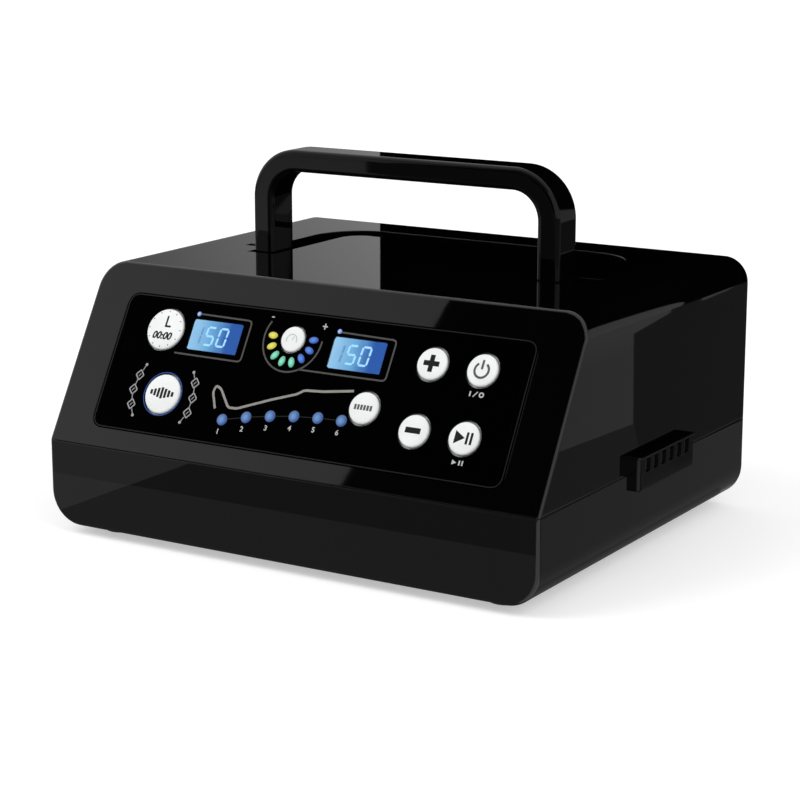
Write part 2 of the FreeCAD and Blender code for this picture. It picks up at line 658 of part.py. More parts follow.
def cover(outer, skin):
    """The upper cover: walls, handle trough, pin blocks, screw posts and board bosses."""
    above = box("above_seam", (f"-{RIGHT}", RIGHT), (FRONT, REAR), ("nose_height", "body_height"))
    solids = [common("cover_walls", skin, above)]
    floor = f"{FOLD_FLOOR} - trough_floor_gap"
    solids.append(trough_form("trough_moulding", "trough_wall", f"{floor} - trough_wall",
                              "body_height - wall / 2"))
    rooms = [trough_form("trough_room", "0", floor, "body_height + overshoot")]
    for side, word in SIDES:
        solids.append(pivot_well(f"well_moulding_{word}", side, "trough_wall"))
        rooms.append(pivot_well(f"well_room_{word}", side, "0"))
        solids.append(pin_slot(f"pin_block_{word}", side, "pin_block", "pivot_pin_radius - pin_block"))
        rooms.append(pin_slot(f"pin_slot_{word}", side, "0", "0"))
        bore_ends = ["handle_half_width - handle_leg_width - trough_side_gap - trough_wall - overshoot",
                     "handle_half_width + trough_side_gap + pin_slot_reach"]
        if side < 0:
            bore_ends = [f"-({end})" for end in reversed(bore_ends)]
        rooms.append(rod(f"pin_bore_{word}", "X", "pivot_pin_radius + fit_gap", bore_ends,
                         (PIVOT_Y, PIVOT_Z)))
    for word, x, y in post_places():
        solids.append(rod(f"cover_post_{word}", "Z", "post_radius", ("nose_height", "body_height"), (x, y)))
        pilot_top = "nose_height + screw_grip + pilot_spare"
        rooms.append(rod(f"pilot_{word}", "Z", "screw_radius", ("nose_height", pilot_top), (x, y)))
    for n, (u, v) in enumerate(board_corners()):
        boss = rod(f"board_boss_{n}", "Z", "board_boss_radius", (BOARD_FACE, "-wall / 2"), ("0", "0"))
        solids.append(lean(boss, u, v, BOARD_FACE))
        pilot = rod(f"board_pilot_{n}", "Z", "board_screw_radius", ("0", "board_screw_grip + overshoot"),
                    ("0", "0"))
        rooms.append(lean(pilot, u, v, BOARD_FACE))
    recess = overlay_sheet("overlay_recess", "run_gap", "-overlay_thickness - overlay_sink", "overshoot")
    rooms.append(lean(recess))
    rooms.append(lean(panel_openings("cover_openings", "overshoot", "-wall - overshoot", "fit_gap")))
    neck_low = "outlet_low_y + outlet_neck_margin - run_gap"
    neck_high = "outlet_low_y + outlet_length - outlet_neck_margin + run_gap"
    rooms.append(box("outlet_opening", (f"{RIGHT} - wall - overshoot", f"{RIGHT} + overshoot"),
                     (neck_low, neck_high),
                     (f"{PORT_Z} - port_slot_height / 2 - run_gap",
                      f"{PORT_Z} + port_slot_height / 2 + run_gap")))
    for n in range(int(size("vent_count"))):
        middle = f"(vent_x + ({n} - (vent_count - 1) / 2) * vent_pitch)"
        rooms.append(box(f"vent_{n}", (f"{middle} - vent_width / 2", f"{middle} + vent_width / 2"),
                         (f"{REAR} - wall - overshoot", f"{REAR} + overshoot"),
                         ("vent_z - vent_height / 2", "vent_z + vent_height / 2")))
    whole = common("cover_in_form", fuse("cover_solids", solids), outer)
    piece("upper_cover", cut("upper_cover", whole, fuse("cover_rooms", rooms)))


def tray(skin):
    """The base tray: floor, low walls, locating rim, screw posts, board posts and manifold pillars."""
    below = box("below_seam", (f"-{RIGHT}", RIGHT), (FRONT, REAR), ("0", "nose_height - seam_gap"))
    rim = cut("rim_ring", casing_form("rim_outer", "(wall + fit_gap)"),
              casing_form("rim_inner", "(wall + fit_gap + tongue_thickness)"))
    # the rim starts below the seam, where it meets a thicker stretch of wall
    rim_band = box("rim_band", (f"-{RIGHT}", RIGHT), (FRONT, REAR),
                   ("nose_height - 2 * tongue_height", "nose_height + tongue_height"))
    step = cut("rim_step_ring", casing_form("step_outer", "(wall / 2)"),
               casing_form("step_inner", "(wall + fit_gap)"))
    step_band = box("step_band", (f"-{RIGHT}", RIGHT), (FRONT, REAR),
                    ("nose_height - 2 * tongue_height", "nose_height - seam_gap"))
    solids = [
        common("tray_walls", skin, below),
        common("rim", rim, rim_band),
        common("rim_step", step, step_band),
    ]
    rooms = []
    for word, x, y in post_places():
        solids.append(rod(f"tray_post_{word}", "Z", "post_radius", ("wall / 2", "nose_height - seam_gap"),
                          (x, y)))
        rooms.append(rod(f"screw_way_{word}", "Z", "screw_radius + fit_gap", ("0", "nose_height"), (x, y)))
        rooms.append(rod(f"head_way_{word}", "Z", "screw_head_radius + run_gap",
                         ("-overshoot", "screw_head_level"), (x, y)))
        rooms.append(rod(f"foot_seat_{word}", "Z", "foot_radius + fit_gap", ("-overshoot", "foot_seat"),
                         (x, y)))
    for n, (x, y) in enumerate(power_board_screws()):
        solids.append(rod(f"power_post_{n}", "Z", "power_post_radius",
                          ("wall / 2", "wall + power_board_level"), (x, y)))
        rooms.append(rod(f"power_pilot_{n}", "Z", "board_screw_radius", ("wall", "wall + power_board_level"),
                         (x, y)))
    for n, (x, y) in enumerate(manifold_corners()):
        solids.append(box(f"pillar_{n}", (x, f"{x} + pillar_size"), (y, f"{y} + pillar_size"),
                          ("wall / 2", f"{PORT_Z} - manifold_height / 2")))
    rooms.append(box("inlet_opening",
                     (f"{INLET_X} - inlet_width / 2 - fit_gap", f"{INLET_X} + inlet_width / 2 + fit_gap"),
                     (f"{REAR} - wall - overshoot", f"{REAR} + overshoot"),
                     ("inlet_z - inlet_height / 2 - fit_gap", "inlet_z + inlet_height / 2 + fit_gap")))
    piece("base_tray", cut("base_tray", fuse("tray_solids", solids), fuse("tray_rooms", rooms)))


def feet():
    """Four turned rubber feet, each seated in the tray over a screw."""
    for word, x, y in post_places():
        body = new_body(f"foot_{word}")
        half = [
            ("0", "-foot_height"),
            ("foot_radius - foot_bevel", "-foot_height"),
            ("foot_radius", "-foot_height + foot_bevel"),
            ("foot_radius", "foot_seat"),
            ("0", "foot_seat"),
        ]
        revolve(body, polygon(body, "XZ_Plane", half))
        piece(f"foot_{word}", body, floor=(x, y))


def case_screws():
    """The four screws that hold the cover to the tray, up through the posts."""
    screws = []
    for word, x, y in post_places():
        head = rod(f"head_{word}", "Z", "screw_head_radius",
                   ("screw_head_level - screw_head_height", "screw_head_level"), (x, y))
        shank = rod(f"shank_{word}", "Z", "screw_radius",
                    ("screw_head_level - screw_head_height / 2", "nose_height + screw_grip"), (x, y))
        screws.append(fuse(f"case_screw_{word}", [head, shank]))
    piece("case_screws", group("case_screws", screws))


# ---- handle ---------------------------------------------------------------------------------------

def handle():
    """The bail: two legs and a grip bar, rounded, with a bored boss at each leg's end."""
    top = "body_height + handle_rise"
    inner = "handle_half_width - handle_leg_width"
    body = new_body("handle_bail")
    frame = polygon(body, "XZ_Plane", rectangle(("-handle_half_width", PIVOT_Z), ("handle_half_width", top)),
                    "-handle_front_y - handle_leg_depth")
    pad(body, frame, "handle_leg_depth")
    high = size("body_height") + size("handle_rise") / 2
    rounded(body, "handle_corner_radius", lambda at, way: abs(way.y) > 0.9 and at.z > high)
    window = polygon(body, "XZ_Plane", rectangle((f"-({inner})", f"{PIVOT_Z} - overshoot"),
                                                 (inner, f"{top} - handle_bar_height")),
                     "-handle_front_y - handle_leg_depth - overshoot")
    pocket(body, window, "handle_leg_depth + 2 * overshoot", backwards=True)
    inner_x = size("handle_half_width") - size("handle_leg_width")
    rounded(body, "handle_corner_radius - handle_bar_height",
            lambda at, way: abs(way.y) > 0.9 and at.z > high and abs(at.x) < inner_x + NEAR)
    low = size("body_height") - size("handle_sink") - size("handle_leg_depth") + size("pivot_inset")
    rounded(body, "handle_edge_radius", lambda at, way: abs(way.y) < 0.5 and at.z > low + NEAR)
    solids = [body]
    bores = []
    for side, word in SIDES:
        ends = (inner, "handle_half_width") if side > 0 else ("-handle_half_width", f"-({inner})")
        boss_end = [f"({ends[0]}) + handle_edge_radius / 2", f"({ends[1]}) - handle_edge_radius / 2"]
        solids.append(rod(f"handle_boss_{word}", "X", "handle_boss_radius", boss_end, (PIVOT_Y, PIVOT_Z)))
        bore = (f"({ends[0]}) - overshoot", f"({ends[1]}) + overshoot")
        bores.append(rod(f"handle_bore_{word}", "X", "pivot_pin_radius + pin_gap", bore, (PIVOT_Y, PIVOT_Z)))
    piece("handle", cut("handle", fuse("handle_solids", solids), fuse("handle_bores", bores)))


def handle_pins():
    """The two steel pins that the handle turns on, one at each leg."""
    near = "handle_half_width - handle_leg_width - trough_side_gap - trough_wall"
    far = "handle_half_width + trough_side_gap + pin_slot_reach - run_gap"
    for side, word in SIDES:
        ends = (near, far) if side > 0 else (f"-({far})", f"-({near})")
        name = f"handle_pin_{word}"
        piece(name, fuse(name, [rod(f"{name}_rod", "X", "pivot_pin_radius", ends, (PIVOT_Y, PIVOT_Z))]))


# ---- control panel --------------------------------------------------------------------------------

def overlay():
    """The glossy sheet in the slope's recess, with holes for keys, windows and lamps."""
    sheet = overlay_sheet("overlay_blank", "0", "-overlay_thickness - overlay_sink", "-overlay_sink")
    holes = panel_openings("overlay_holes", "overshoot", "-wall", "fit_gap")
    piece("control_overlay", cut("control_overlay", sheet, holes), slope=("0", "0", "0"))


def keys():
    """The round key caps: a bevelled disc, a flange behind the cover's wall and a stem."""
    stem_end = f"{BOARD_FACE} + switch_height + switch_button_height + key_travel + run_gap"
    under = "-wall - run_gap"
    for name, u, v, radius in key_list():
        body = new_body(name)
        half = [
            ("0", stem_end),
            ("key_stem_radius", stem_end),
            ("key_stem_radius", f"{under} - key_flange_height"),
            (f"{radius} + key_flange", f"{under} - key_flange_height"),
            (f"{radius} + key_flange", under),
            (radius, under),
            (radius, "key_proud - key_edge"),
            (f"{radius} - key_edge", "key_proud"),
            ("0", "key_proud"),
        ]
        # a sketch on the XZ plane has its second axis along the body's Z
        revolve(body, polygon(body, "XZ_Plane", half))
        piece(name, body, slope=(u, v, "0"))


def windows():
    """The clear lenses of the two displays, flush with the overlay."""
    for side, u in window_list():
        name = f"display_window_{side}"
        body = new_body(name)
        corners = rectangle(("-window_width / 2", "-window_height / 2"),
                            ("window_width / 2", "window_height / 2"))
        pad(body, polygon(body, "XY_Plane", corners, "-wall"), "wall - overlay_sink")
        rounded(body, "window_corner_radius", lambda at, way: abs(way.z) > 0.9)
        piece(name, body, slope=(u, "window_v", "0"))


def displays():
    """The two display modules, from the board up to just under their windows."""
    for side, u in window_list():
        name = f"display_{side}"
        half_width = "(window_width / 2 + display_margin)"
        half_height = "(window_height / 2 + display_margin)"
        glass = box(f"{name}_glass", (f"-{half_width}", half_width), (f"-{half_height}", half_height),
                    ("-wall - run_gap - display_glass", "-wall - run_gap"))
        back = box(f"{name}_back", (f"-{half_width} + display_step", f"{half_width} - display_step"),
                   (f"-{half_height} + display_step", f"{half_height} - display_step"),
                   (BOARD_FACE, "-wall - run_gap - display_glass / 2"))
        piece(name, fuse(name, [glass, back]), slope=(u, "window_v", "0"))


def light_pipes():
    """The clear rods that bring the lamps' light from the board to the overlay."""
    for name, radius, places in (("dial_light_pipes", "dial_lamp_radius", dial_lamps()),
                                 ("zone_light_pipes", "zone_lamp_radius", zone_lamps())):
        rods = []
        for n, (u, v) in enumerate(places):
            rods.append(rod(f"{name}_{n}", "Z", radius, (BOARD_FACE, "-overlay_sink"), (u, v)))
        piece(name, group(name, rods), slope=("0", "0", "0"))


def control_board():
    """The board behind the panel, with its switches, buzzer, chips and screws."""
    back = f"{BOARD_FACE} - board_thickness"
    plate = box("control_plate", ("-board_half_width", "board_half_width"), ("board_low_v", "board_high_v"),
                (back, BOARD_FACE))
    hole_ends = (f"{back} - overshoot", f"{BOARD_FACE} + overshoot")
    holes = [rod(f"board_hole_{n}", "Z", "board_screw_radius + fit_gap", hole_ends, at)
             for n, at in enumerate(board_corners())]
    piece("control_board", cut("control_board", plate, fuse("board_holes", holes)), slope=("0", "0", "0"))
    switches = []
    half = "switch_width / 2"
    top = f"{BOARD_FACE} + switch_height"
    for name, u, v, radius in key_list():
        case = box(f"{name}_switch_case", (f"{u} - {half}", f"{u} + {half}"),
                   (f"{v} - {half}", f"{v} + {half}"), (BOARD_FACE, top))
        button = rod(f"{name}_switch_button", "Z", "switch_button_radius",
                     (top, f"{top} + switch_button_height"), (u, v))
        switches.append(fuse(f"{name}_switch", [case, button]))
    piece("key_switches", group("key_switches", switches), slope=("0", "0", "0"))
    screws = []
    for n, (u, v) in enumerate(board_corners()):
        head = rod(f"board_screw_head_{n}", "Z", "2 * board_screw_radius",
                   (f"{back} - board_screw_head", back), (u, v))
        shank = rod(f"board_screw_shank_{n}", "Z", "board_screw_radius",
                    (back, f"{BOARD_FACE} + board_screw_grip"), (u, v))
        screws.append(fuse(f"board_screw_{n}", [head, shank]))
    piece("control_board_screws", group("control_board_screws", screws), slope=("0", "0", "0"))
    buzzer_end = f"{back} - buzzer_height"
    buzzer_at = ("sign_column_u", "upper_row_v - buzzer_drop")
    buzzer = rod("buzzer_case", "Z", "buzzer_radius", (buzzer_end, back), buzzer_at)
    sound_hole = rod("buzzer_hole", "Z", "buzzer_hole_radius",
                     (f"{buzzer_end} - overshoot", f"{buzzer_end} + buzzer_hole_depth"), buzzer_at)
    piece("buzzer", cut("buzzer", buzzer, sound_hole), slope=("0", "0", "0"))
    chips = []
    places = (("left_window_u", "left_chip"), ("dial_u", "middle_chip"), ("right_window_u", "right_chip"))
    for u, wide in places:
        chips.append(box(wide, (f"{u} - {wide} / 2", f"{u} + {wide} / 2"),
                         ("lower_row_v + chip_rise", f"lower_row_v + chip_rise + {wide}"),
                         (f"{back} - chip_height", back)))
    piece("control_chips", group("control_chips", chips), slope=("0", "0", "0"))


# ---- hose outlet and hoses ------------------------------------------------------------------------

def port_places():
    """The Y of each hose port, centred in the outlet block."""
    numbers = range(int(size("port_count")))
    return [f"({PORT_MIDDLE_Y} + ({n} - (port_count - 1) / 2) * port_pitch)" for n in numbers]


def outlet_socket():
    """The black block on the right wall: ports above, a lip below that stands off the wall."""
    body = new_body("outlet_block")
    step_z = "outlet_low_z + outlet_lip_height"
    outer_x = f"{RIGHT} + outlet_reach"
    corners = [
        (RIGHT, step_z),
        (f"{RIGHT} + outlet_lip_gap", step_z),
        (f"{RIGHT} + outlet_lip_gap", "outlet_low_z"),
        (outer_x, "outlet_low_z"),
        (outer_x, "outlet_high_z"),
        (RIGHT, "outlet_high_z"),
    ]
    pad(body, polygon(body, "XZ_Plane", corners, "-outlet_low_y - outlet_length"), "outlet_length")
    lip_x = size("body_width") / 2 + size("outlet_lip_gap")
    front_y = size("outlet_low_y")
    rounded(body, "outlet_corner_radius",
            lambda at, way: abs(way.z) > 0.9 and at.x > lip_x + NEAR and abs(at.y - front_y) < NEAR)
    rounded(body, "outlet_edge_radius", lambda at, way: abs(way.y) > 0.9 and at.x > lip_x + NEAR)
    neck = box("outlet_neck", (NECK_END, f"{RIGHT} + overshoot"),
               ("outlet_low_y + outlet_neck_margin", "outlet_low_y + outlet_length - outlet_neck_margin"),
               (f"{PORT_Z} - port_slot_height / 2", f"{PORT_Z} + port_slot_height / 2"))
    solids = [body, neck]
    rooms = []
    for n, y in enumerate(port_places()):
        solids.append(rod(f"outlet_nipple_{n}", "X", "nipple_radius",
                          (f"{NECK_END} - nipple_length", NECK_END), (y, PORT_Z)))
        rooms.append(rod(f"outlet_way_{n}", "X", "nipple_bore",
                         (f"{NECK_END} - nipple_length - overshoot", outer_x), (y, PORT_Z)))
        slot_x = f"{outer_x} - port_slot_depth"
        rooms.append(box(f"port_mouth_{n}", (slot_x, f"{outer_x} + overshoot"),
                         (f"{y} - port_slot_width / 2", f"{y} + port_slot_width / 2"),
                         (f"{PORT_Z} - port_slot_height / 2", f"{PORT_Z} + port_slot_height / 2")))
        rooms.append(rod(f"port_bore_{n}", "X", "port_radius",
                         (f"{slot_x} - port_depth", f"{slot_x} + overshoot"), (y, PORT_Z)))
    panel_x = (f"{outer_x} - outlet_recess", f"{outer_x} + overshoot")
    panel_front = "outlet_low_y + outlet_rim"
    panel_rear = "outlet_low_y + outlet_length + overshoot"
    last_mouth = f"{port_places()[-1]} + port_slot_width / 2"
    mouth_low = f"{PORT_Z} - port_slot_height / 2"
    rooms.append(box("panel_low", panel_x, (panel_front, panel_rear), ("outlet_low_z - overshoot", mouth_low)))
    rooms.append(box("panel_rear", panel_x, (f"{last_mouth} + outlet_rim", panel_rear),
                     (f"{mouth_low} - overshoot", f"{PORT_Z} + port_slot_height / 2")))
    piece("outlet_socket", cut("outlet_socket", fuse("outlet_solids", solids), fuse("outlet_rooms", rooms)))


def outlet_hoses():
    """Six straight hoses from the manifold to the outlet, slipped over the nipples at both ends."""
    hoses = []
    for n, y in enumerate(port_places()):
        ends = (f"{MANIFOLD_X} + manifold_length + fit_gap", f"{NECK_END} - fit_gap")
        hoses.append(cut(f"outlet_hose_{n}", rod(f"outlet_tube_{n}", "X", "hose_radius", ends, (y, PORT_Z)),
                         rod(f"outlet_air_{n}", "X", "nipple_radius + fit_gap", ends, (y, PORT_Z))))
    piece("outlet_hoses", group("outlet_hoses", hoses))


def supply_hose():
    """The hose from the compressor's right head round to the manifold."""
    start_x = f"(compressor_x + {HEAD_INNER} + head_length - head_nipple_inset)"
    start_y = "compressor_y - head_half_width - fit_gap"
    bend_y = "(manifold_y + hose_bend)"

    def along_route(name, radius):
        return fuse(name, [
            rod(f"{name}_start", "Y", radius, (bend_y, start_y), (start_x, PORT_Z)),
            elbow(f"{name}_bend", radius, "hose_bend", (f"{start_x} + hose_bend", bend_y, PORT_Z),
                  (-1, 0, 0), (0, -1, 0)),
            rod(f"{name}_end", "X", radius, (f"{start_x} + hose_bend", f"{MANIFOLD_X} - fit_gap"),
                ("manifold_y", PORT_Z)),
        ])

    piece("supply_hose", cut("supply_hose", along_route("supply_tube", "hose_radius"),
                             along_route("supply_air", "nipple_radius + fit_gap")))


def bridge_hose():
    """The hose that joins the two heads over the coil."""
    nipple_x = f"({HEAD_INNER} + head_length - head_nipple_inset)"
    left = f"compressor_x - {nipple_x}"
    right = f"compressor_x + {nipple_x}"
    start_z = f"({HEAD_TOP} + fit_gap)"
    bend_z = f"({HEAD_TOP} + nipple_length + bridge_rise)"

    def along_route(name, radius):
        return fuse(name, [
            rod(f"{name}_left", "Z", radius, (start_z, bend_z), (left, "compressor_y")),
            elbow(f"{name}_left_bend", radius, "bridge_bend",
                  (f"{left} + bridge_bend", "compressor_y", bend_z), (-1, 0, 0), (0, 0, 1)),
            rod(f"{name}_across", "X", radius, (f"{left} + bridge_bend", f"{right} - bridge_bend"),
                ("compressor_y", f"{bend_z} + bridge_bend")),
            elbow(f"{name}_right_bend", radius, "bridge_bend",
                  (f"{right} - bridge_bend", "compressor_y", bend_z), (1, 0, 0), (0, 0, 1)),
            rod(f"{name}_right", "Z", radius, (start_z, bend_z), (right, "compressor_y")),
        ])

    piece("bridge_hose", cut("bridge_hose", along_route("bridge_tube", "hose_radius"),
                             along_route("bridge_air", "nipple_radius + fit_gap")))


# ---- valves ---------------------------------------------------------------------------------------

def manifold_corners():
    """The low corners of the four pillars that carry the manifold."""
    near_x = MANIFOLD_X
    far_x = f"({MANIFOLD_X} + manifold_length - pillar_size)"
    near_y = "(manifold_y - manifold_width / 2)"
    far_y = "(manifold_y + manifold_width / 2 - pillar_size)"
    return [(near_x, near_y), (far_x, near_y), (near_x, far_y), (far_x, far_y)]


def valve_places():
    """The six valves' places: two rows of three on the manifold."""
    middle_x = f"({MANIFOLD_X} + manifold_length / 2)"
    places = []
    for row in (-1, 1):
        for step in (-1, 0, 1):
            places.append((f"{middle_x} + {row} * valve_pitch / 2", f"manifold_y + {step} * valve_pitch"))
    return places


def manifold():
    """The valve block: nipples for the supply and for each outlet, and a seat under each valve."""
    low = f"{PORT_Z} - manifold_height / 2"
    left = MANIFOLD_X
    right = f"({MANIFOLD_X} + manifold_length)"
    block = box("manifold_block", (left, right),
                ("manifold_y - manifold_width / 2", "manifold_y + manifold_width / 2"), (low, MANIFOLD_TOP))
    solids = [block, rod("manifold_inlet", "X", "nipple_radius", (f"{left} - nipple_length", left),
                         ("manifold_y", PORT_Z))]
    ways = [rod("manifold_inlet_way", "X", "nipple_bore",
                (f"{left} - nipple_length - overshoot", f"{left} + manifold_way"), ("manifold_y", PORT_Z))]
    for n, y in enumerate(port_places()):
        solids.append(rod(f"manifold_outlet_{n}", "X", "nipple_radius", (right, f"{right} + nipple_length"),
                          (y, PORT_Z)))
        ways.append(rod(f"manifold_way_{n}", "X", "nipple_bore",
                        (f"{right} - manifold_way", f"{right} + nipple_length + overshoot"), (y, PORT_Z)))
    for n, at in enumerate(valve_places()):
        ways.append(rod(f"valve_seat_{n}", "Z", "plunger_radius + run_gap",
                        (f"{MANIFOLD_TOP} - plunger_seat - run_gap", f"{MANIFOLD_TOP} + overshoot"), at))
    piece("valve_manifold", cut("valve_manifold", fuse("manifold_solids", solids),
                                fuse("manifold_ways", ways)))


def valves():
    """The six coil cans, and the plunger that lifts in each."""
    cans = []
    plunger_top = f"{MANIFOLD_TOP} - plunger_seat + plunger_length"
    for n, at in enumerate(valve_places()):
        can = rod(f"valve_can_{n}", "Z", "valve_radius", (MANIFOLD_TOP, f"{MANIFOLD_TOP} + valve_height"), at)
        way = rod(f"valve_way_{n}", "Z", "plunger_radius + run_gap",
                  (f"{MANIFOLD_TOP} - overshoot", f"{plunger_top} + plunger_travel + run_gap"), at)
        cans.append(cut(f"valve_coil_{n}", can, way))
        name = f"valve_plunger_{n + 1}"
        stem = rod(f"{name}_rod", "Z", "plunger_radius", (f"{MANIFOLD_TOP} - plunger_seat", plunger_top), at)
        piece(name, fuse(name, [stem]))
    piece("valve_coils", group("valve_coils", cans))


# ---- compressor -----------------------------------------------------------------------------------

def beside(side, near, far):
    """A span of X on one side of the compressor's middle."""
    if side > 0:
        return (f"compressor_x + {near}", f"compressor_x + {far}")
    return (f"compressor_x - {far}", f"compressor_x - {near}")


def compressor_base():
    """The base plate on four rubber mounts, with the pins that the arms swing on."""
    plate = box("base_plate", ("compressor_x - base_half_length", "compressor_x + base_half_length"),
                ("compressor_y - base_half_width", "compressor_y + base_half_width"),
                ("wall + mount_height", BASE_TOP))
    pins = []
    for side, word in SIDES:
        pin_top = f"{ARM_MIDDLE_Z} + arm_height / 2 + arm_pin_stand"
        pins.append(rod(f"arm_pin_{word}", "Z", "arm_pin_radius",
                        (f"{BASE_TOP} - base_thickness / 2", pin_top),
                        (f"compressor_x + {side} * arm_x", "compressor_y + arm_pin_y")))
    piece("compressor_base", fuse("compressor_base", [plate] + pins))
    mounts = []
    for n, (x, y) in enumerate(((-1, -1), (1, -1), (-1, 1), (1, 1))):
        mounts.append(rod(f"rubber_mount_{n}", "Z", "mount_radius", ("wall", "wall + mount_height"),
                          (f"compressor_x + {x} * mount_x", f"compressor_y + {y} * mount_y")))
    piece("compressor_mounts", group("compressor_mounts", mounts))


def compressor_magnet():
    """The laminated core and the winding round it."""
    core = box("core_block", ("compressor_x - core_half_width", "compressor_x + core_half_width"),
               ("compressor_y - core_half_depth", "compressor_y + core_half_depth"),
               (BASE_TOP, f"{BASE_TOP} + core_height"))
    piece("compressor_core", fuse("compressor_core", [core]))
    span = (f"{ARM_MIDDLE_Z} - coil_height / 2", f"{ARM_MIDDLE_Z} + coil_height / 2")
    half_x = "(core_half_width + coil_thickness)"
    half_y = "(core_half_depth + coil_thickness)"
    winding = box("winding", (f"compressor_x - {half_x}", f"compressor_x + {half_x}"),
                  (f"compressor_y - {half_y}", f"compressor_y + {half_y}"), span)
    middle = box("winding_middle",
                 ("compressor_x - core_half_width - fit_gap", "compressor_x + core_half_width + fit_gap"),
                 ("compressor_y - core_half_depth - fit_gap", "compressor_y + core_half_depth + fit_gap"),
                 (f"{span[0]} - overshoot", f"{span[1]} + overshoot"))
    piece("compressor_coil", cut("compressor_coil", winding, middle))


def swing_arm(side, word):
    """One arm with its bearing barrel and its magnet, which faces the coil."""
    pin = (f"compressor_x + {side} * arm_x", "compressor_y + arm_pin_y")
    span = (f"{ARM_MIDDLE_Z} - arm_height / 2", f"{ARM_MIDDLE_Z} + arm_height / 2")
    inner = "(arm_x - arm_thickness / 2)"
    blade = box(f"blade_{word}", beside(side, inner, f"({inner} + arm_thickness)"),
                ("compressor_y + arm_pin_y - arm_reach", "compressor_y + arm_pin_y"), span)
    barrel = rod(f"barrel_{word}", "Z", "arm_barrel_radius", span, pin)
    magnet = box(f"magnet_{word}", beside(side, f"({inner} - magnet_thickness)", inner),
                 ("compressor_y - magnet_length / 2", "compressor_y + magnet_length / 2"),
                 (f"{ARM_MIDDLE_Z} - magnet_height / 2", f"{ARM_MIDDLE_Z} + magnet_height / 2"))
    bore = rod(f"arm_bore_{word}", "Z", "arm_pin_radius + pin_gap",
               (f"{span[0]} - overshoot", f"{span[1]} + overshoot"), pin)
    name = f"swing_arm_{word}"
    piece(name, cut(name, fuse(f"arm_solids_{word}", [blade, barrel, magnet]), bore))


def compressor_head(side, word):
    """One head with its nipples, its diaphragm and, on the right, the supply outlet."""
    block = box(f"head_block_{word}", beside(side, HEAD_INNER, f"({HEAD_INNER} + head_length)"),
                ("compressor_y - head_half_width", "compressor_y + head_half_width"), (BASE_TOP, HEAD_TOP))
    nipple_x = f"(compressor_x + {side} * ({HEAD_INNER} + head_length - head_nipple_inset))"
    top_nipple = rod(f"head_nipple_{word}", "Z", "nipple_radius", (HEAD_TOP, f"{HEAD_TOP} + nipple_length"),
                     (nipple_x, "compressor_y"))
    way = rod(f"compressor_way_{word}", "Z", "nipple_bore",
              (f"{HEAD_TOP} - head_way_depth", f"{HEAD_TOP} + nipple_length + overshoot"),
              (nipple_x, "compressor_y"))
    solids = [block, top_nipple]
    ways = [way]
    if side > 0:
        front = "(compressor_y - head_half_width)"
        solids.append(rod("supply_nipple", "Y", "nipple_radius", (f"{front} - nipple_length", front),
                          (nipple_x, PORT_Z)))
        ways.append(rod("supply_way", "Y", "nipple_bore",
                        (f"{front} - nipple_length - overshoot", f"{front} + head_way_depth"),
                        (nipple_x, PORT_Z)))
    name = f"compressor_head_{word}"
    piece(name, cut(name, fuse(f"head_solids_{word}", solids), fuse(f"head_ways_{word}", ways)))
    disc_span = beside(side, f"({HEAD_INNER} - diaphragm_thickness)", HEAD_INNER)
    disc = rod(f"diaphragm_disc_{word}", "X", "diaphragm_radius", disc_span, ("compressor_y", ARM_MIDDLE_Z))
    piece(f"diaphragm_{word}", fuse(f"diaphragm_{word}", [disc]))


def intake_filter():
    """The felt filter on the left head's outer face."""
    span = beside(-1, f"({HEAD_INNER} + head_length)", f"({HEAD_INNER} + head_length + filter_length)")
    felt = rod("felt", "X", "filter_radius", span, ("compressor_y", ARM_MIDDLE_Z))
    piece("intake_filter", fuse("intake_filter", [felt]))


# ---- mains side -----------------------------------------------------------------------------------

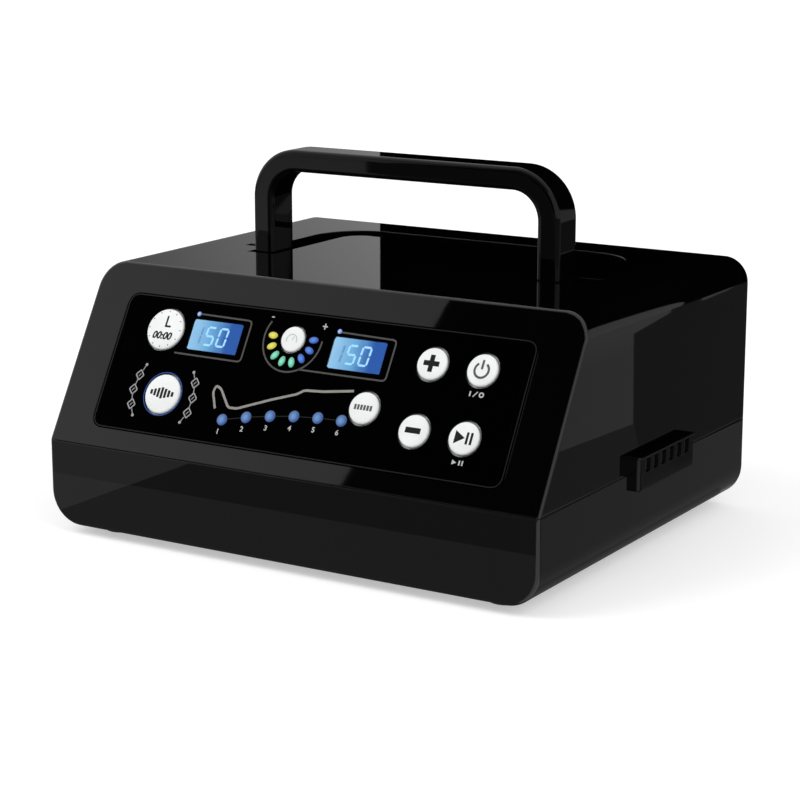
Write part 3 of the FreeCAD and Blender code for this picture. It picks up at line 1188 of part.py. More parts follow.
def inlet():
    """The mains inlet: a socket through the rear wall, its flange behind the wall, pins and screws."""
    back_y = f"({REAR} - inlet_depth)"
    flange_y = f"({REAR} - wall)"
    flange_back = f"({flange_y} - inlet_flange_thickness)"
    half_width = "inlet_width / 2"
    half_height = "inlet_height / 2"
    shell = box("inlet_shell", (f"{INLET_X} - {half_width}", f"{INLET_X} + {half_width}"), (back_y, REAR),
                (f"inlet_z - {half_height}", f"inlet_z + {half_height}"))
    flange = box("inlet_flange",
                 (f"{INLET_X} - inlet_flange_width / 2", f"{INLET_X} + inlet_flange_width / 2"),
                 (flange_back, flange_y),
                 (f"inlet_z - {half_height} - inlet_flange_margin",
                  f"inlet_z + {half_height} + inlet_flange_margin"))
    room = box("inlet_room",
               (f"{INLET_X} - {half_width} + inlet_wall", f"{INLET_X} + {half_width} - inlet_wall"),
               (f"{back_y} + inlet_wall", f"{REAR} + overshoot"),
               (f"inlet_z - {half_height} + inlet_wall", f"inlet_z + {half_height} - inlet_wall"))
    rooms = [room]
    screws = []
    for side, word in SIDES:
        at = (f"{INLET_X} + {side} * inlet_screw_x", "inlet_z")
        rooms.append(rod(f"inlet_screw_way_{word}", "Y", "inlet_screw_radius + fit_gap",
                         (f"{flange_back} - overshoot", f"{flange_y} + overshoot"), at))
        head = rod(f"inlet_screw_head_{word}", "Y", "inlet_screw_head_radius",
                   (f"{flange_back} - inlet_screw_head_height", flange_back), at)
        shank = rod(f"inlet_screw_shank_{word}", "Y", "inlet_screw_radius", (flange_back, flange_y), at)
        screws.append(fuse(f"inlet_screw_{word}", [head, shank]))
    pins = []
    holes = []
    for step, rise in ((-1, -1), (0, 1), (1, -1)):
        x = (f"{INLET_X} + {step} * mains_pin_pitch - mains_pin_width / 2",
             f"{INLET_X} + {step} * mains_pin_pitch + mains_pin_width / 2")
        pin_z = f"inlet_z + {rise} * mains_pin_offset"
        z = (f"{pin_z} - mains_pin_height / 2", f"{pin_z} + mains_pin_height / 2")
        pins.append(box(f"mains_pin_{step + 1}", x,
                        (f"{back_y} - mains_pin_tail", f"{REAR} - mains_pin_recess"), z))
        holes.append(box(f"mains_pin_hole_{step + 1}", x,
                         (f"{back_y} - overshoot", f"{back_y} + inlet_wall + overshoot"), z))
    piece("mains_inlet", cut("mains_inlet", fuse("inlet_solids", [shell, flange]),
                             fuse("inlet_rooms", rooms + holes)))
    piece("mains_pins", group("mains_pins", pins))
    piece("inlet_screws", group("inlet_screws", screws))


def power_board_screws():
    """The places of the power board's screws."""
    x = "(power_board_half_width - board_screw_inset)"
    y = "(power_board_half_depth - board_screw_inset)"
    return [(f"{POWER_BOARD_X} {side} {x}", f"{end}{y}") for end in ("-", "") for side in ("-", "+")]


def power_board():
    """The power board on the tray's posts, with its components and screws."""
    low = "(wall + power_board_level)"
    top = f"({low} + board_thickness)"
    plate = box("power_plate",
                (f"{POWER_BOARD_X} - power_board_half_width", f"{POWER_BOARD_X} + power_board_half_width"),
                ("-power_board_half_depth", "power_board_half_depth"), (low, top))
    holes = []
    screws = []
    for n, at in enumerate(power_board_screws()):
        holes.append(rod(f"power_hole_{n}", "Z", "board_screw_radius + fit_gap",
                         (f"{low} - overshoot", f"{top} + overshoot"), at))
        head = rod(f"power_screw_head_{n}", "Z", "2 * board_screw_radius",
                   (top, f"{top} + board_screw_head"), at)
        shank = rod(f"power_screw_shank_{n}", "Z", "board_screw_radius",
                    (f"{low} - board_screw_grip", top), at)
        screws.append(fuse(f"power_screw_{n}", [head, shank]))
    piece("power_board", cut("power_board", plate, fuse("power_holes", holes)))
    piece("power_board_screws", group("power_board_screws", screws))
    parts = []
    for name in ("transformer", "relay"):
        x = (f"{POWER_BOARD_X} - {name}_half_width", f"{POWER_BOARD_X} + {name}_half_width")
        y = (f"{name}_front", f"{name}_front + {name}_length")
        parts.append(box(name, x, y, (top, f"{top} + {name}_height")))
    for side, word in SIDES:
        middle_x = f"{POWER_BOARD_X} + {side} * (capacitor_radius + capacitor_gap / 2)"
        parts.append(rod(f"capacitor_{word}", "Z", "capacitor_radius", (top, f"{top} + capacitor_height"),
                         (middle_x, "capacitor_y")))
    piece("power_components", group("power_components", parts))


# ---- the whole part -------------------------------------------------------------------------------

def build():
    """Builds every sub-part in the document."""
    outer = casing_form("casing_outer", "0")
    round_outline(outer)
    skin = cut("casing_skin", outer, casing_form("casing_inner", "wall"))
    cover(outer, skin)
    tray(skin)
    feet()
    case_screws()
    handle()
    handle_pins()
    overlay()
    keys()
    windows()
    displays()
    light_pipes()
    control_board()
    outlet_socket()
    outlet_hoses()
    supply_hose()
    bridge_hose()
    manifold()
    valves()
    compressor_base()
    compressor_magnet()
    for side, word in SIDES:
        swing_arm(side, word)
        compressor_head(side, word)
    intake_filter()
    inlet()
    power_board()
    DOC.recompute()


def check():
    """Stops with the names of objects that failed or of sub-parts that are empty or not valid."""
    failed = [thing.Name for thing in DOC.Objects if "Invalid" in thing.State or "Error" in thing.State]
    if failed:
        raise RuntimeError(f"failed objects: {failed}")
    for thing in PIECES:
        if thing.Shape.isNull() or not thing.Shape.isValid() or not thing.Shape.Solids:
            raise RuntimeError(f"{thing.Label} has no valid solid")


def export():
    """Writes each sub-part to a STEP file of its own name."""
    os.makedirs("parts", exist_ok=True)
    for thing in PIECES:
        thing.Shape.exportStep(f"parts/{thing.Label}.step")


fill_sheet()
build()
check()
export()
print(f"{len(PIECES)} sub-parts")
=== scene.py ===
import json
import logging
import math
from collections.abc import Callable, Sequence
from dataclasses import dataclass, field
from enum import Enum

import bmesh
import bpy
from mathutils import Matrix, Vector


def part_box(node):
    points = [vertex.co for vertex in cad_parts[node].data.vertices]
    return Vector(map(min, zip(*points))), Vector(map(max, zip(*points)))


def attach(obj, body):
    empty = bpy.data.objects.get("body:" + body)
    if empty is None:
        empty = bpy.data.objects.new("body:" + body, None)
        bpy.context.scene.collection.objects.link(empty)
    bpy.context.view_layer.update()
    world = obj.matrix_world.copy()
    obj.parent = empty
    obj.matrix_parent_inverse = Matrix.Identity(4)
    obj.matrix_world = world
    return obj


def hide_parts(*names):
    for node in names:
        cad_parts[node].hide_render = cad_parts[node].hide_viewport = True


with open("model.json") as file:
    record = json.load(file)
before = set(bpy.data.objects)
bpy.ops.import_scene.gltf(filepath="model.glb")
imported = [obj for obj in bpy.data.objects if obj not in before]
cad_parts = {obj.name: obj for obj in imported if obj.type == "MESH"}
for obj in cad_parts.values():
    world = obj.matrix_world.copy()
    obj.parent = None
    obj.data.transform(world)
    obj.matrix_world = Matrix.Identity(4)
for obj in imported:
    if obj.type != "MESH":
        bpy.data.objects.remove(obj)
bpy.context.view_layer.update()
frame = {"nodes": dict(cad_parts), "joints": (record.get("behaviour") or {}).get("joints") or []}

# Compression therapy pump: finishes, key caps, displays, lamps, panel print and studio round the packed
# model. Sizes are in millimetres and MM turns them into the frame's metres; the studio is in metres.

MM = 0.001
CASING_BODY = "casing"
WHITE = (1.0, 1.0, 1.0, 1.0)
LOG = logging.getLogger("pump")

Point = tuple[float, float]
Triple = tuple[float, float, float]
Colour = tuple[float, float, float]
Outline = list[Point]
Socket = bpy.types.NodeSocket


class Slot(Enum):
    """The record's material slots that new pieces are handed; nothing reads them, and each piece's finish is
    given on its own.
    """

    KEY = "key_white"
    LAMP = "lamp_clear"
    DISPLAY = "display_blue"
    WINDOW = "window_clear"
    OVERLAY = "overlay_black"
    DARK = "component_black"


# ---- shader building --------------------------------------------------------------------------------


@dataclass(frozen=True)
class Noise:
    """A noise over an object: features per metre, layers of finer noise, and stretch along each axis."""

    scale: float
    detail: float = 2.0
    stretch: Triple = (1.0, 1.0, 1.0)


class NodeTree:
    """A node tree, with short calls for adding and joining nodes."""

    def __init__(self, tree: bpy.types.NodeTree) -> None:
        """Empties the tree."""
        self.tree = tree
        self.tree.nodes.clear()

    def node(self, kind: str, **settings: object) -> bpy.types.Node:
        """Adds a node.

        Args:
            kind: the node's type name.
            settings: properties of the node to set.

        Returns:
            The new node.
        """
        made = self.tree.nodes.new(kind)
        for key, value in settings.items():
            setattr(made, key, value)
        return made

    def link(self, start: Socket, end: Socket) -> None:
        """Joins an output socket to an input socket."""
        self.tree.links.new(start, end)


class ShaderTree(NodeTree):
    """A material's node tree, with short calls for the nodes that the finishes use."""

    def __init__(self, name: str) -> None:
        """Starts an empty material.

        Args:
            name: the material's name.
        """
        self.material = bpy.data.materials.new(name)
        self.material.use_nodes = True
        super().__init__(self.material.node_tree)
        self.output = self.node("ShaderNodeOutputMaterial")

    def principled(self, colour: Colour, roughness: float, **sockets: object) -> bpy.types.Node:
        """Adds the main shader and joins it to the output.

        Args:
            colour: linear base colour.
            roughness: roughness where nothing drives it.
            sockets: other sockets by name, with underscores for spaces.

        Returns:
            The shader node.
        """
        shader = self.node("ShaderNodeBsdfPrincipled")
        shader.inputs["Base Color"].default_value = (*colour, 1.0)
        shader.inputs["Roughness"].default_value = roughness
        for name, value in sockets.items():
            shader.inputs[name.replace("_", " ")].default_value = value
        self.link(shader.outputs["BSDF"], self.output.inputs["Surface"])
        return shader

    def place(self, stretch: Triple = (1.0, 1.0, 1.0)) -> Socket:
        """Gives the object's own coordinates in metres.

        Args:
            stretch: stretch along each axis.

        Returns:
            The vector output.
        """
        coordinates = self.node("ShaderNodeTexCoord")
        mapping = self.node("ShaderNodeMapping")
        mapping.inputs["Scale"].default_value = stretch
        self.link(coordinates.outputs["Object"], mapping.inputs["Vector"])
        return mapping.outputs["Vector"]

    def noise(self, noise: Noise) -> Socket:
        """Adds a noise over the object.

        Args:
            noise: what it is like.

        Returns:
            The factor output, about 0.5 on average.
        """
        texture = self.node("ShaderNodeTexNoise")
        texture.inputs["Scale"].default_value = noise.scale
        texture.inputs["Detail"].default_value = noise.detail
        self.link(self.place(noise.stretch), texture.inputs["Vector"])
        return texture.outputs["Fac"]

    def spread(self, factor: Socket, low: float, high: float, start: float = 0.0,
               end: float = 1.0) -> Socket:
        """Maps a factor from one range to another.

        Args:
            factor: the value to map.
            low: result at start.
            high: result at end.
            start: lower end of the incoming range.
            end: upper end of the incoming range.

        Returns:
            The mapped value, held within low and high.
        """
        ranged = self.node("ShaderNodeMapRange")
        for name, value in (("From Min", start), ("From Max", end), ("To Min", low), ("To Max", high)):
            ranged.inputs[name].default_value = value
        self.link(factor, ranged.inputs["Value"])
        return ranged.outputs["Result"]

    def ramp(self, factor: Socket, *stops: tuple[float, Colour]) -> Socket:
        """Turns a factor into a colour through stops.

        Args:
            factor: the value from 0 to 1.
            stops: places and linear colours, in order.

        Returns:
            The colour output.
        """
        ramp = self.node("ShaderNodeValToRGB")
        elements = ramp.color_ramp.elements
        while len(elements) < len(stops):
            elements.new(1.0)
        for element, (place, colour) in zip(elements, stops):
            element.position = place
            element.color = (*colour, 1.0)
        self.link(factor, ramp.inputs["Fac"])
        return ramp.outputs["Color"]

    def tint(self, shader: bpy.types.Node, factor: Socket, *stops: tuple[float, Colour]) -> None:
        """Colours a shader's base by a factor, through stops."""
        self.link(self.ramp(factor, *stops), shader.inputs["Base Color"])

    def roughen(self, shader: bpy.types.Node, factor: Socket, *limits: float) -> None:
        """Drives a shader's roughness by a factor; the limits are those of spread."""
        self.link(self.spread(factor, *limits), shader.inputs["Roughness"])

    def bump(self, shader: bpy.types.Node, height: Socket, distance: float, strength: float = 1.0,
             edge_radius: float = 0.0) -> None:
        """Drives a shader's normal from a height.

        Args:
            shader: the shader whose normal is driven.
            height: height from 0 to 1.
            distance: what a height of 1 stands for, in metres.
            strength: how much of it shows.
            edge_radius: how far the shading rounds sharp edges, in metres.
        """
        bump = self.node("ShaderNodeBump")
        bump.inputs["Distance"].default_value = distance
        bump.inputs["Strength"].default_value = strength
        if edge_radius:
            bevel = self.node("ShaderNodeBevel", samples=4)
            bevel.inputs["Radius"].default_value = edge_radius
            self.link(bevel.outputs["Normal"], bump.inputs["Normal"])
        self.link(height, bump.inputs["Height"])
        self.link(bump.outputs["Normal"], shader.inputs["Normal"])


# ---- finishes ---------------------------------------------------------------------------------------


@dataclass(frozen=True)
class Finish:
    """What every finish has: a name and a linear base colour. Depths and radii are in metres."""

    name: str
    colour: Colour

    def build(self) -> bpy.types.Material:
        """Makes the material.

        Returns:
            The new material.
        """
        tree = ShaderTree(self.name)
        self.shade(tree)
        return tree.material

    def shade(self, tree: ShaderTree) -> None:
        """Adds the finish's nodes to an empty tree."""
        raise NotImplementedError

    def toned(self, factor: float, lift: float = 0.0) -> Colour:
        """Gives the base colour times a factor, plus a lift."""
        return tuple(min(1.0, channel * factor + lift) for channel in self.colour)


@dataclass(frozen=True)
class GlossPlastic(Finish):
    """Moulded plastic polished in the tool: clear reflections, faint orange peel and wiped-on smears."""

    roughness: float = 0.015
    specular: float = 0.5
    smears: float = 0.015
    smear_pattern: Noise = Noise(22.0, 4.0, (1.0, 1.6, 0.8))
    tone_pattern: Noise = Noise(9.0)
    tone_rise: float = 1.35
    peel: Noise = Noise(420.0, 1.0)
    peel_depth: float = 5.0e-7
    edge_radius: float = 0.7 * MM

    def shade(self, tree: ShaderTree) -> None:
        """Adds the smears, a slow change of tone and the peel.

        Args:
            tree: the empty tree.
        """
        shader = tree.principled(self.colour, self.roughness, Specular_IOR_Level=self.specular)
        tree.roughen(shader, tree.noise(self.smear_pattern), self.roughness, self.roughness + self.smears,
                     0.48, 0.75)
        tree.tint(shader, tree.noise(self.tone_pattern), (0.35, self.colour),
                  (0.7, self.toned(self.tone_rise)))
        tree.bump(shader, tree.noise(self.peel), self.peel_depth, edge_radius=self.edge_radius)


@dataclass(frozen=True)
class GrainedPlastic(Finish):
    """Moulded plastic with a fine spark-eroded grain."""

    roughness: float = 0.4
    specular: float = 0.5
    wear: Noise = Noise(60.0, 5.0)
    handling: Noise = Noise(150.0, 3.0)
    grain: Noise = Noise(2600.0)
    depth: float = 1.2e-5

    def shade(self, tree: ShaderTree) -> None:
        """Adds the wear, the uneven gloss and the grain.

        Args:
            tree: the empty tree.
        """
        shader = tree.principled(self.colour, self.roughness, Specular_IOR_Level=self.specular)
        tree.tint(shader, tree.noise(self.wear), (0.35, self.colour), (0.75, self.toned(1.12, 0.004)))
        tree.roughen(shader, tree.noise(self.handling), self.roughness - 0.06, self.roughness + 0.08)
        tree.bump(shader, tree.noise(self.grain), self.depth, 0.6)


@dataclass(frozen=True)
class Rubber(Finish):
    """Matte rubber with dust in its pores."""

    roughness: float = 0.75
    specular: float = 0.3
    dust: Noise = Noise(240.0, 6.0)
    pores: Noise = Noise(1800.0, 4.0)
    depth: float = 3.0e-5

    def shade(self, tree: ShaderTree) -> None:
        """Adds the dust and the pores.

        Args:
            tree: the empty tree.
        """
        shader = tree.principled(self.colour, self.roughness, Specular_IOR_Level=self.specular)
        tree.tint(shader, tree.noise(self.dust), (0.4, self.colour), (0.8, self.toned(1.8, 0.006)))
        tree.bump(shader, tree.noise(self.pores), self.depth, 0.7)


@dataclass(frozen=True)
class Metal(Finish):
    """Plated or drawn metal, brushed along one axis."""

    roughness: float = 0.28
    brushing: Noise = Noise(320.0, 3.0, (1.0, 1.0, 30.0))
    tarnish: Noise = Noise(90.0, 3.0)
    depth: float = 8.0e-6

    def shade(self, tree: ShaderTree) -> None:
        """Adds the brushed lines and a light tarnish.

        Args:
            tree: the empty tree.
        """
        shader = tree.principled(self.colour, self.roughness, Metallic=1.0)
        lines = tree.noise(self.brushing)
        tree.roughen(shader, lines, self.roughness - 0.08, self.roughness + 0.14)
        tree.tint(shader, tree.noise(self.tarnish), (0.3, self.toned(0.8)), (0.7, self.colour))
        tree.bump(shader, lines, self.depth, 0.5)


@dataclass(frozen=True)
class CastMetal(Finish):
    """Die-cast metal with a pebbled skin."""

    roughness: float = 0.5
    clouds: Noise = Noise(70.0, 6.0)
    pebbles: Noise = Noise(900.0, 4.0)
    depth: float = 6.0e-5

    def shade(self, tree: ShaderTree) -> None:
        """Adds the clouded tone and the pebbles.

        Args:
            tree: the empty tree.
        """
        shader = tree.principled(self.colour, self.roughness, Metallic=1.0)
        tree.tint(shader, tree.noise(self.clouds), (0.3, self.toned(0.6)), (0.65, self.colour))
        tree.bump(shader, tree.noise(self.pebbles), self.depth, 0.6)


@dataclass(frozen=True)
class Banded(Finish):
    """A surface of fine parallel bands, such as enamelled wire or stacked laminations."""

    second: Colour
    pitch: float
    axis: str = "Z"
    metallic: float = 1.0
    roughness: float = 0.35
    waver: float = 0.4
    groove: float = 0.3

    def shade(self, tree: ShaderTree) -> None:
        """Adds the bands. The wave node repeats every pi over ten times its scale.

        Args:
            tree: the empty tree.
        """
        shader = tree.principled(self.colour, self.roughness, Metallic=self.metallic)
        wave = tree.node("ShaderNodeTexWave", wave_type="BANDS", bands_direction=self.axis,
                         wave_profile="SIN")
        wave.inputs["Scale"].default_value = math.pi / (self.pitch * 10.0)
        wave.inputs["Distortion"].default_value = self.waver
        tree.link(tree.place(), wave.inputs["Vector"])
        tree.tint(shader, wave.outputs["Fac"], (0.15, self.second), (0.6, self.colour))
        tree.bump(shader, wave.outputs["Fac"], self.pitch * self.groove, 0.8)


@dataclass(frozen=True)
class SolderMask(Finish):
    """A circuit board: green mask with copper runs under it and the glass weave's faint grid."""

    track: Colour
    roughness: float = 0.3
    specular: float = 0.5
    weave: float = 120.0
    track_width: float = 0.035
    depth: float = 3.0e-5

    def shade(self, tree: ShaderTree) -> None:
        """Adds the weave and the runs.

        Args:
            tree: the empty tree.
        """
        shader = tree.principled(self.colour, self.roughness, Specular_IOR_Level=self.specular)
        bricks = tree.node("ShaderNodeTexBrick", offset=0.5)
        bricks.inputs["Scale"].default_value = self.weave
        bricks.inputs["Mortar Size"].default_value = self.track_width
        for name, colour in (("Color1", self.colour), ("Color2", self.toned(0.8)), ("Mortar", self.track)):
            bricks.inputs[name].default_value = (*colour, 1.0)
        tree.link(tree.place(), bricks.inputs["Vector"])
        tree.link(bricks.outputs["Color"], shader.inputs["Base Color"])
        tree.bump(shader, bricks.outputs["Fac"], self.depth, 0.5)


@dataclass(frozen=True)
class Felt(Finish):
    """Pressed felt: matted fibres, no gloss."""

    roughness: float = 0.95
    specular: float = 0.1
    sheen: float = 0.4
    fibres: Noise = Noise(1500.0, 8.0, (1.0, 0.4, 1.0))
    depth: float = 2.0e-4

    def shade(self, tree: ShaderTree) -> None:
        """Adds the fibres.

        Args:
            tree: the empty tree.
        """
        shader = tree.principled(self.colour, self.roughness, Specular_IOR_Level=self.specular,
                                 Sheen_Weight=self.sheen)
        fibres = tree.noise(self.fibres)
        tree.tint(shader, fibres, (0.3, self.toned(0.55)), (0.7, self.colour))
        tree.bump(shader, fibres, self.depth, 0.9)


@dataclass(frozen=True)
class Ink(Finish):
    """Screen-printed ink: slightly uneven cover and a satin skin. Its glow is painted light on the overlay's
    grey print, which is no lamp, and real backlight on the display digits and the mode halo.
    """

    # glow is emission: painted light on the overlay's grey print inks, real backlight on the display digits
    # and the mode halo.
    glow: float = 0.0
    roughness: float = 0.45
    specular: float = 0.3
    cover: Noise = Noise(900.0, 4.0)
    skin: Noise = Noise(3000.0)
    depth: float = 4.0e-6

    def shade(self, tree: ShaderTree) -> None:
        """Adds the uneven cover, the skin and the glow, which on the overlay's grey print is painted light.

        Args:
            tree: the empty tree.
        """
        shader = tree.principled(self.colour, self.roughness, Specular_IOR_Level=self.specular,
                                 Emission_Color=(*self.colour, 1.0), Emission_Strength=self.glow)
        tree.tint(shader, tree.noise(self.cover), (0.3, self.toned(0.78)), (0.6, self.colour))
        tree.bump(shader, tree.noise(self.skin), self.depth, 0.5)


@dataclass(frozen=True)
class LitJewel(Finish):
    """A lit lamp lens: bright in its middle, deeper in colour towards its rim."""

    rim: Colour
    glow: float = 0.9
    body: Colour = (0.02, 0.02, 0.02)
    roughness: float = 0.18
    specular: float = 0.5
    skin: Noise = Noise(2500.0)
    depth: float = 3.0e-6

    def shade(self, tree: ShaderTree) -> None:
        """Adds the glow, which follows the lens' own outward attribute, and the skin.

        Args:
            tree: the empty tree.
        """
        shader = tree.principled(self.body, self.roughness, Specular_IOR_Level=self.specular,
                                 Emission_Strength=self.glow)
        outward = tree.node("ShaderNodeAttribute", attribute_name=Dome.OUTWARD)
        glow = tree.ramp(outward.outputs["Fac"], (0.25, self.colour), (1.0, self.rim))
        tree.link(glow, shader.inputs["Emission Color"])
        tree.bump(shader, tree.noise(self.skin), self.depth, 0.5)


@dataclass(frozen=True)
class BacklitGlass(Finish):
    """A display's lit face: pale on the left, deep on the right, with a faint grid of cells."""

    middle: Colour
    deep: Colour
    left_x: float
    right_x: float
    body: Colour = (0.01, 0.02, 0.05)
    roughness: float = 0.3
    specular: float = 0.1
    patches: Noise = Noise(130.0)
    patchiness: float = 0.22
    cell: float = 0.45 * MM
    grid_width: float = 0.06
    grid_tone: float = 0.86

    def cells(self, tree: ShaderTree) -> Socket:
        """Adds the grid between the cells.

        Args:
            tree: the tree that it goes into.

        Returns:
            A colour to multiply the light by.
        """
        cells = tree.node("ShaderNodeTexBrick", offset=0.0)
        cells.inputs["Scale"].default_value = 1.0
        cells.inputs["Brick Width"].default_value = self.cell
        cells.inputs["Row Height"].default_value = self.cell
        cells.inputs["Mortar Size"].default_value = self.cell * self.grid_width
        for name, tone in (("Color1", 1.0), ("Color2", 1.0), ("Mortar", self.grid_tone)):
            cells.inputs[name].default_value = (tone, tone, tone, 1.0)
        tree.link(tree.place(), cells.inputs["Vector"])
        return cells.outputs["Color"]

    def shade(self, tree: ShaderTree) -> None:
        """Adds the light behind the glass.

        Args:
            tree: the empty tree.
        """
        shader = tree.principled(self.body, self.roughness, Specular_IOR_Level=self.specular,
                                 Emission_Strength=1.0)
        split = tree.node("ShaderNodeSeparateXYZ")
        tree.link(tree.place(), split.inputs["Vector"])
        patchy = tree.node("ShaderNodeMath", operation="MULTIPLY_ADD")
        tree.link(tree.noise(self.patches), patchy.inputs[0])
        patchy.inputs[1].default_value = self.patchiness
        tree.link(tree.spread(split.outputs["X"], 0.0, 1.0, self.left_x, self.right_x), patchy.inputs[2])
        lit = tree.ramp(patchy.outputs["Value"], (0.1, self.colour), (0.52, self.middle), (0.86, self.deep),
                        (1.0, self.deep))
        shaded = tree.node("ShaderNodeMix", data_type="RGBA", blend_type="MULTIPLY")
        shaded.inputs["Factor"].default_value = 1.0
        tree.link(lit, shaded.inputs["A"])
        tree.link(self.cells(tree), shaded.inputs["B"])
        tree.link(shaded.outputs["Result"], shader.inputs["Emission Color"])


@dataclass(frozen=True)
class ClearGlass(Finish):
    """A clear moulded lens."""

    ior: float = 1.45
    roughness: float = 0.02
    streaks: Noise = Noise(60.0, 4.0)
    skin: Noise = Noise(300.0, 1.0)
    depth: float = 1.0e-6

    def shade(self, tree: ShaderTree) -> None:
        """Adds faint streaks and a skin.

        Args:
            tree: the empty tree.
        """
        shader = tree.principled(self.colour, self.roughness, Transmission_Weight=1.0, IOR=self.ior)
        tree.roughen(shader, tree.noise(self.streaks), 0.01, 0.05, 0.45, 0.8)
        tree.bump(shader, tree.noise(self.skin), self.depth, 0.5)


CASING_BLACK = GlossPlastic("casing_black", (0.0009, 0.0009, 0.001))
HANDLE_BLACK = GlossPlastic("handle_black", (0.0009, 0.0009, 0.001), roughness=0.025, specular=0.2)
OVERLAY_BLACK = GlossPlastic("overlay_black", (0.0002, 0.0002, 0.00025), roughness=0.25, specular=0.006)
OUTLET_BLACK = GlossPlastic("outlet_black", (0.0006, 0.0006, 0.0007), roughness=0.12, specular=0.25,
                            smears=0.05, edge_radius=0.5 * MM)
KEY_WHITE = GrainedPlastic("key_white", (0.86, 0.87, 0.87), roughness=0.32, depth=4.0e-6)
COMPONENT_BLACK = GrainedPlastic("component_black", (0.03, 0.03, 0.032), roughness=0.45)
MOULDED_GREY = GrainedPlastic("moulded_grey", (0.3, 0.31, 0.32), roughness=0.42)
RUBBER_BLACK = Rubber("rubber_black", (0.02, 0.02, 0.02))
STEEL = Metal("steel", (0.6, 0.6, 0.6))
BRASS = Metal("brass", (0.72, 0.56, 0.28), roughness=0.22)
CAST_ALUMINIUM = CastMetal("cast_aluminium", (0.62, 0.63, 0.64))
CORE_IRON = Banded("core_iron", (0.22, 0.22, 0.23), (0.06, 0.06, 0.065), pitch=0.7 * MM, axis="Y")
WINDING_COPPER = Banded("winding_copper", (0.62, 0.26, 0.1), (0.2, 0.07, 0.03), pitch=0.6 * MM,
                        roughness=0.25)
CIRCUIT_BOARD = SolderMask("circuit_board", (0.01, 0.12, 0.04), (0.03, 0.2, 0.06))
FELT_GREY = Felt("felt_grey", (0.5, 0.5, 0.47))
WINDOW_CLEAR = ClearGlass("window_clear", (0.96, 0.98, 1.0), ior=1.12)
LAMP_CLEAR = ClearGlass("lamp_clear", (0.85, 0.92, 1.0))
# These four grey print inks glow: painted light that lifts the printed lines and numerals, which are no
# lamps.
LINE_INK = Ink("print_line_grey", (0.07, 0.066, 0.063), glow=0.1)
OUTLINE_INK = Ink("print_outline_grey", (0.25, 0.24, 0.225), glow=0.2)
CHAIN_INK = Ink("print_chain_grey", (0.28, 0.28, 0.285), glow=0.25)
NUMERAL_INK = Ink("print_numeral_grey", (0.45, 0.45, 0.44), glow=0.2)
EDGE_INK = Ink("print_edge_grey", (0.0045, 0.0045, 0.005))
KEY_INK = Ink("key_ink_dark", (0.006, 0.006, 0.007))
SOFT_KEY_INK = Ink("key_ink_soft", (0.1, 0.1, 0.1))
FAINT_KEY_INK = Ink("key_ink_faint", (0.5, 0.62, 0.63))
DIGIT_INK = Ink("display_digit", (0.3, 0.58, 0.82), glow=0.6)
GHOST_INK = Ink("display_ghost", (0.12, 0.3, 0.52), glow=0.3)
HALO_BLUE = Ink("mode_halo", (0.02, 0.07, 0.3), glow=0.25)
YELLOW_JEWEL = LitJewel("jewel_yellow", (0.86, 0.84, 0.14), (0.55, 0.5, 0.03))
MINT_JEWEL = LitJewel("jewel_mint", (0.3, 0.86, 0.6), (0.06, 0.42, 0.27))
BLUE_JEWEL = LitJewel("jewel_blue", (0.07, 0.26, 0.86), (0.015, 0.06, 0.35))
ZONE_JEWEL = LitJewel("jewel_zone", (0.12, 0.3, 0.62), (0.02, 0.06, 0.24))
POINT_JEWEL = LitJewel("jewel_point", (0.45, 0.65, 0.95), (0.12, 0.22, 0.6))


class Palette:
    """Builds each finish once and hands out its material."""

    def __init__(self) -> None:
        """Starts with nothing built."""
        self.built: dict[str, bpy.types.Material] = {}

    def material(self, finish: Finish) -> bpy.types.Material:
        """Gives a finish's material, and builds it the first time.

        Args:
            finish: the finish.

        Returns:
            Its material.
        """
        if finish.name not in self.built:
            self.built[finish.name] = finish.build()
        return self.built[finish.name]

    def dress(self, finish: Finish, *nodes: str) -> None:
        """Puts a finish on CAD nodes.

        Args:
            finish: the finish.
            nodes: the nodes' names.
        """
        for name in nodes:
            for place in frame["nodes"][name].material_slots:
                place.material = self.material(finish)
            LOG.info("dressed %s in %s", name, finish.name)


PALETTE = Palette()


# ---- the panel's own frame --------------------------------------------------------------------------


class PanelPlane:
    """The sloped panel's frame: U to the right, V up the slope, W out of it, in mm from the nose line."""

    def __init__(self) -> None:
        """Reads the frame from the cover's box and from the direction in which a key is pressed."""
        press = next(joint for joint in frame["joints"] if joint["name"] == "time_press")
        low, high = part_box("upper_cover")
        self.right = Vector((1.0, 0.0, 0.0))
        self.out = -Vector(press["axis"]).normalized()
        self.up = self.out.cross(self.right)
        self.origin = Vector(((low.x + high.x) / 2.0, low.y, low.z))

    def at(self, u: float, v: float, w: float = 0.0) -> Vector:
        """Gives a panel point in the row frame.

        Args:
            u: mm to the right of the middle.
            v: mm up the slope from the nose line.
            w: mm out of the slope.

        Returns:
            The point in metres.
        """
        return self.origin + (self.right * u + self.up * v + self.out * w) * MM

    def span(self, node: str) -> tuple[Vector, Vector]:
        """Measures a CAD node in the panel's frame.

        Args:
            node: the node's name.

        Returns:
            Its lowest and highest U, V and W in mm.
        """
        places = [vertex.co - self.origin for vertex in frame["nodes"][node].data.vertices]
        rows = [[place.dot(axis) / MM for place in places] for axis in (self.right, self.up, self.out)]
        return Vector([min(row) for row in rows]), Vector([max(row) for row in rows])

    def middle(self, node: str) -> Point:
        """Gives the U and V of a node's middle."""
        low, high = self.span(node)
        return ((low.x + high.x) / 2.0, (low.y + high.y) / 2.0)


PANEL = PanelPlane()
SHEET_TOP = PANEL.span("control_overlay")[1].z


# ---- mesh building ----------------------------------------------------------------------------------


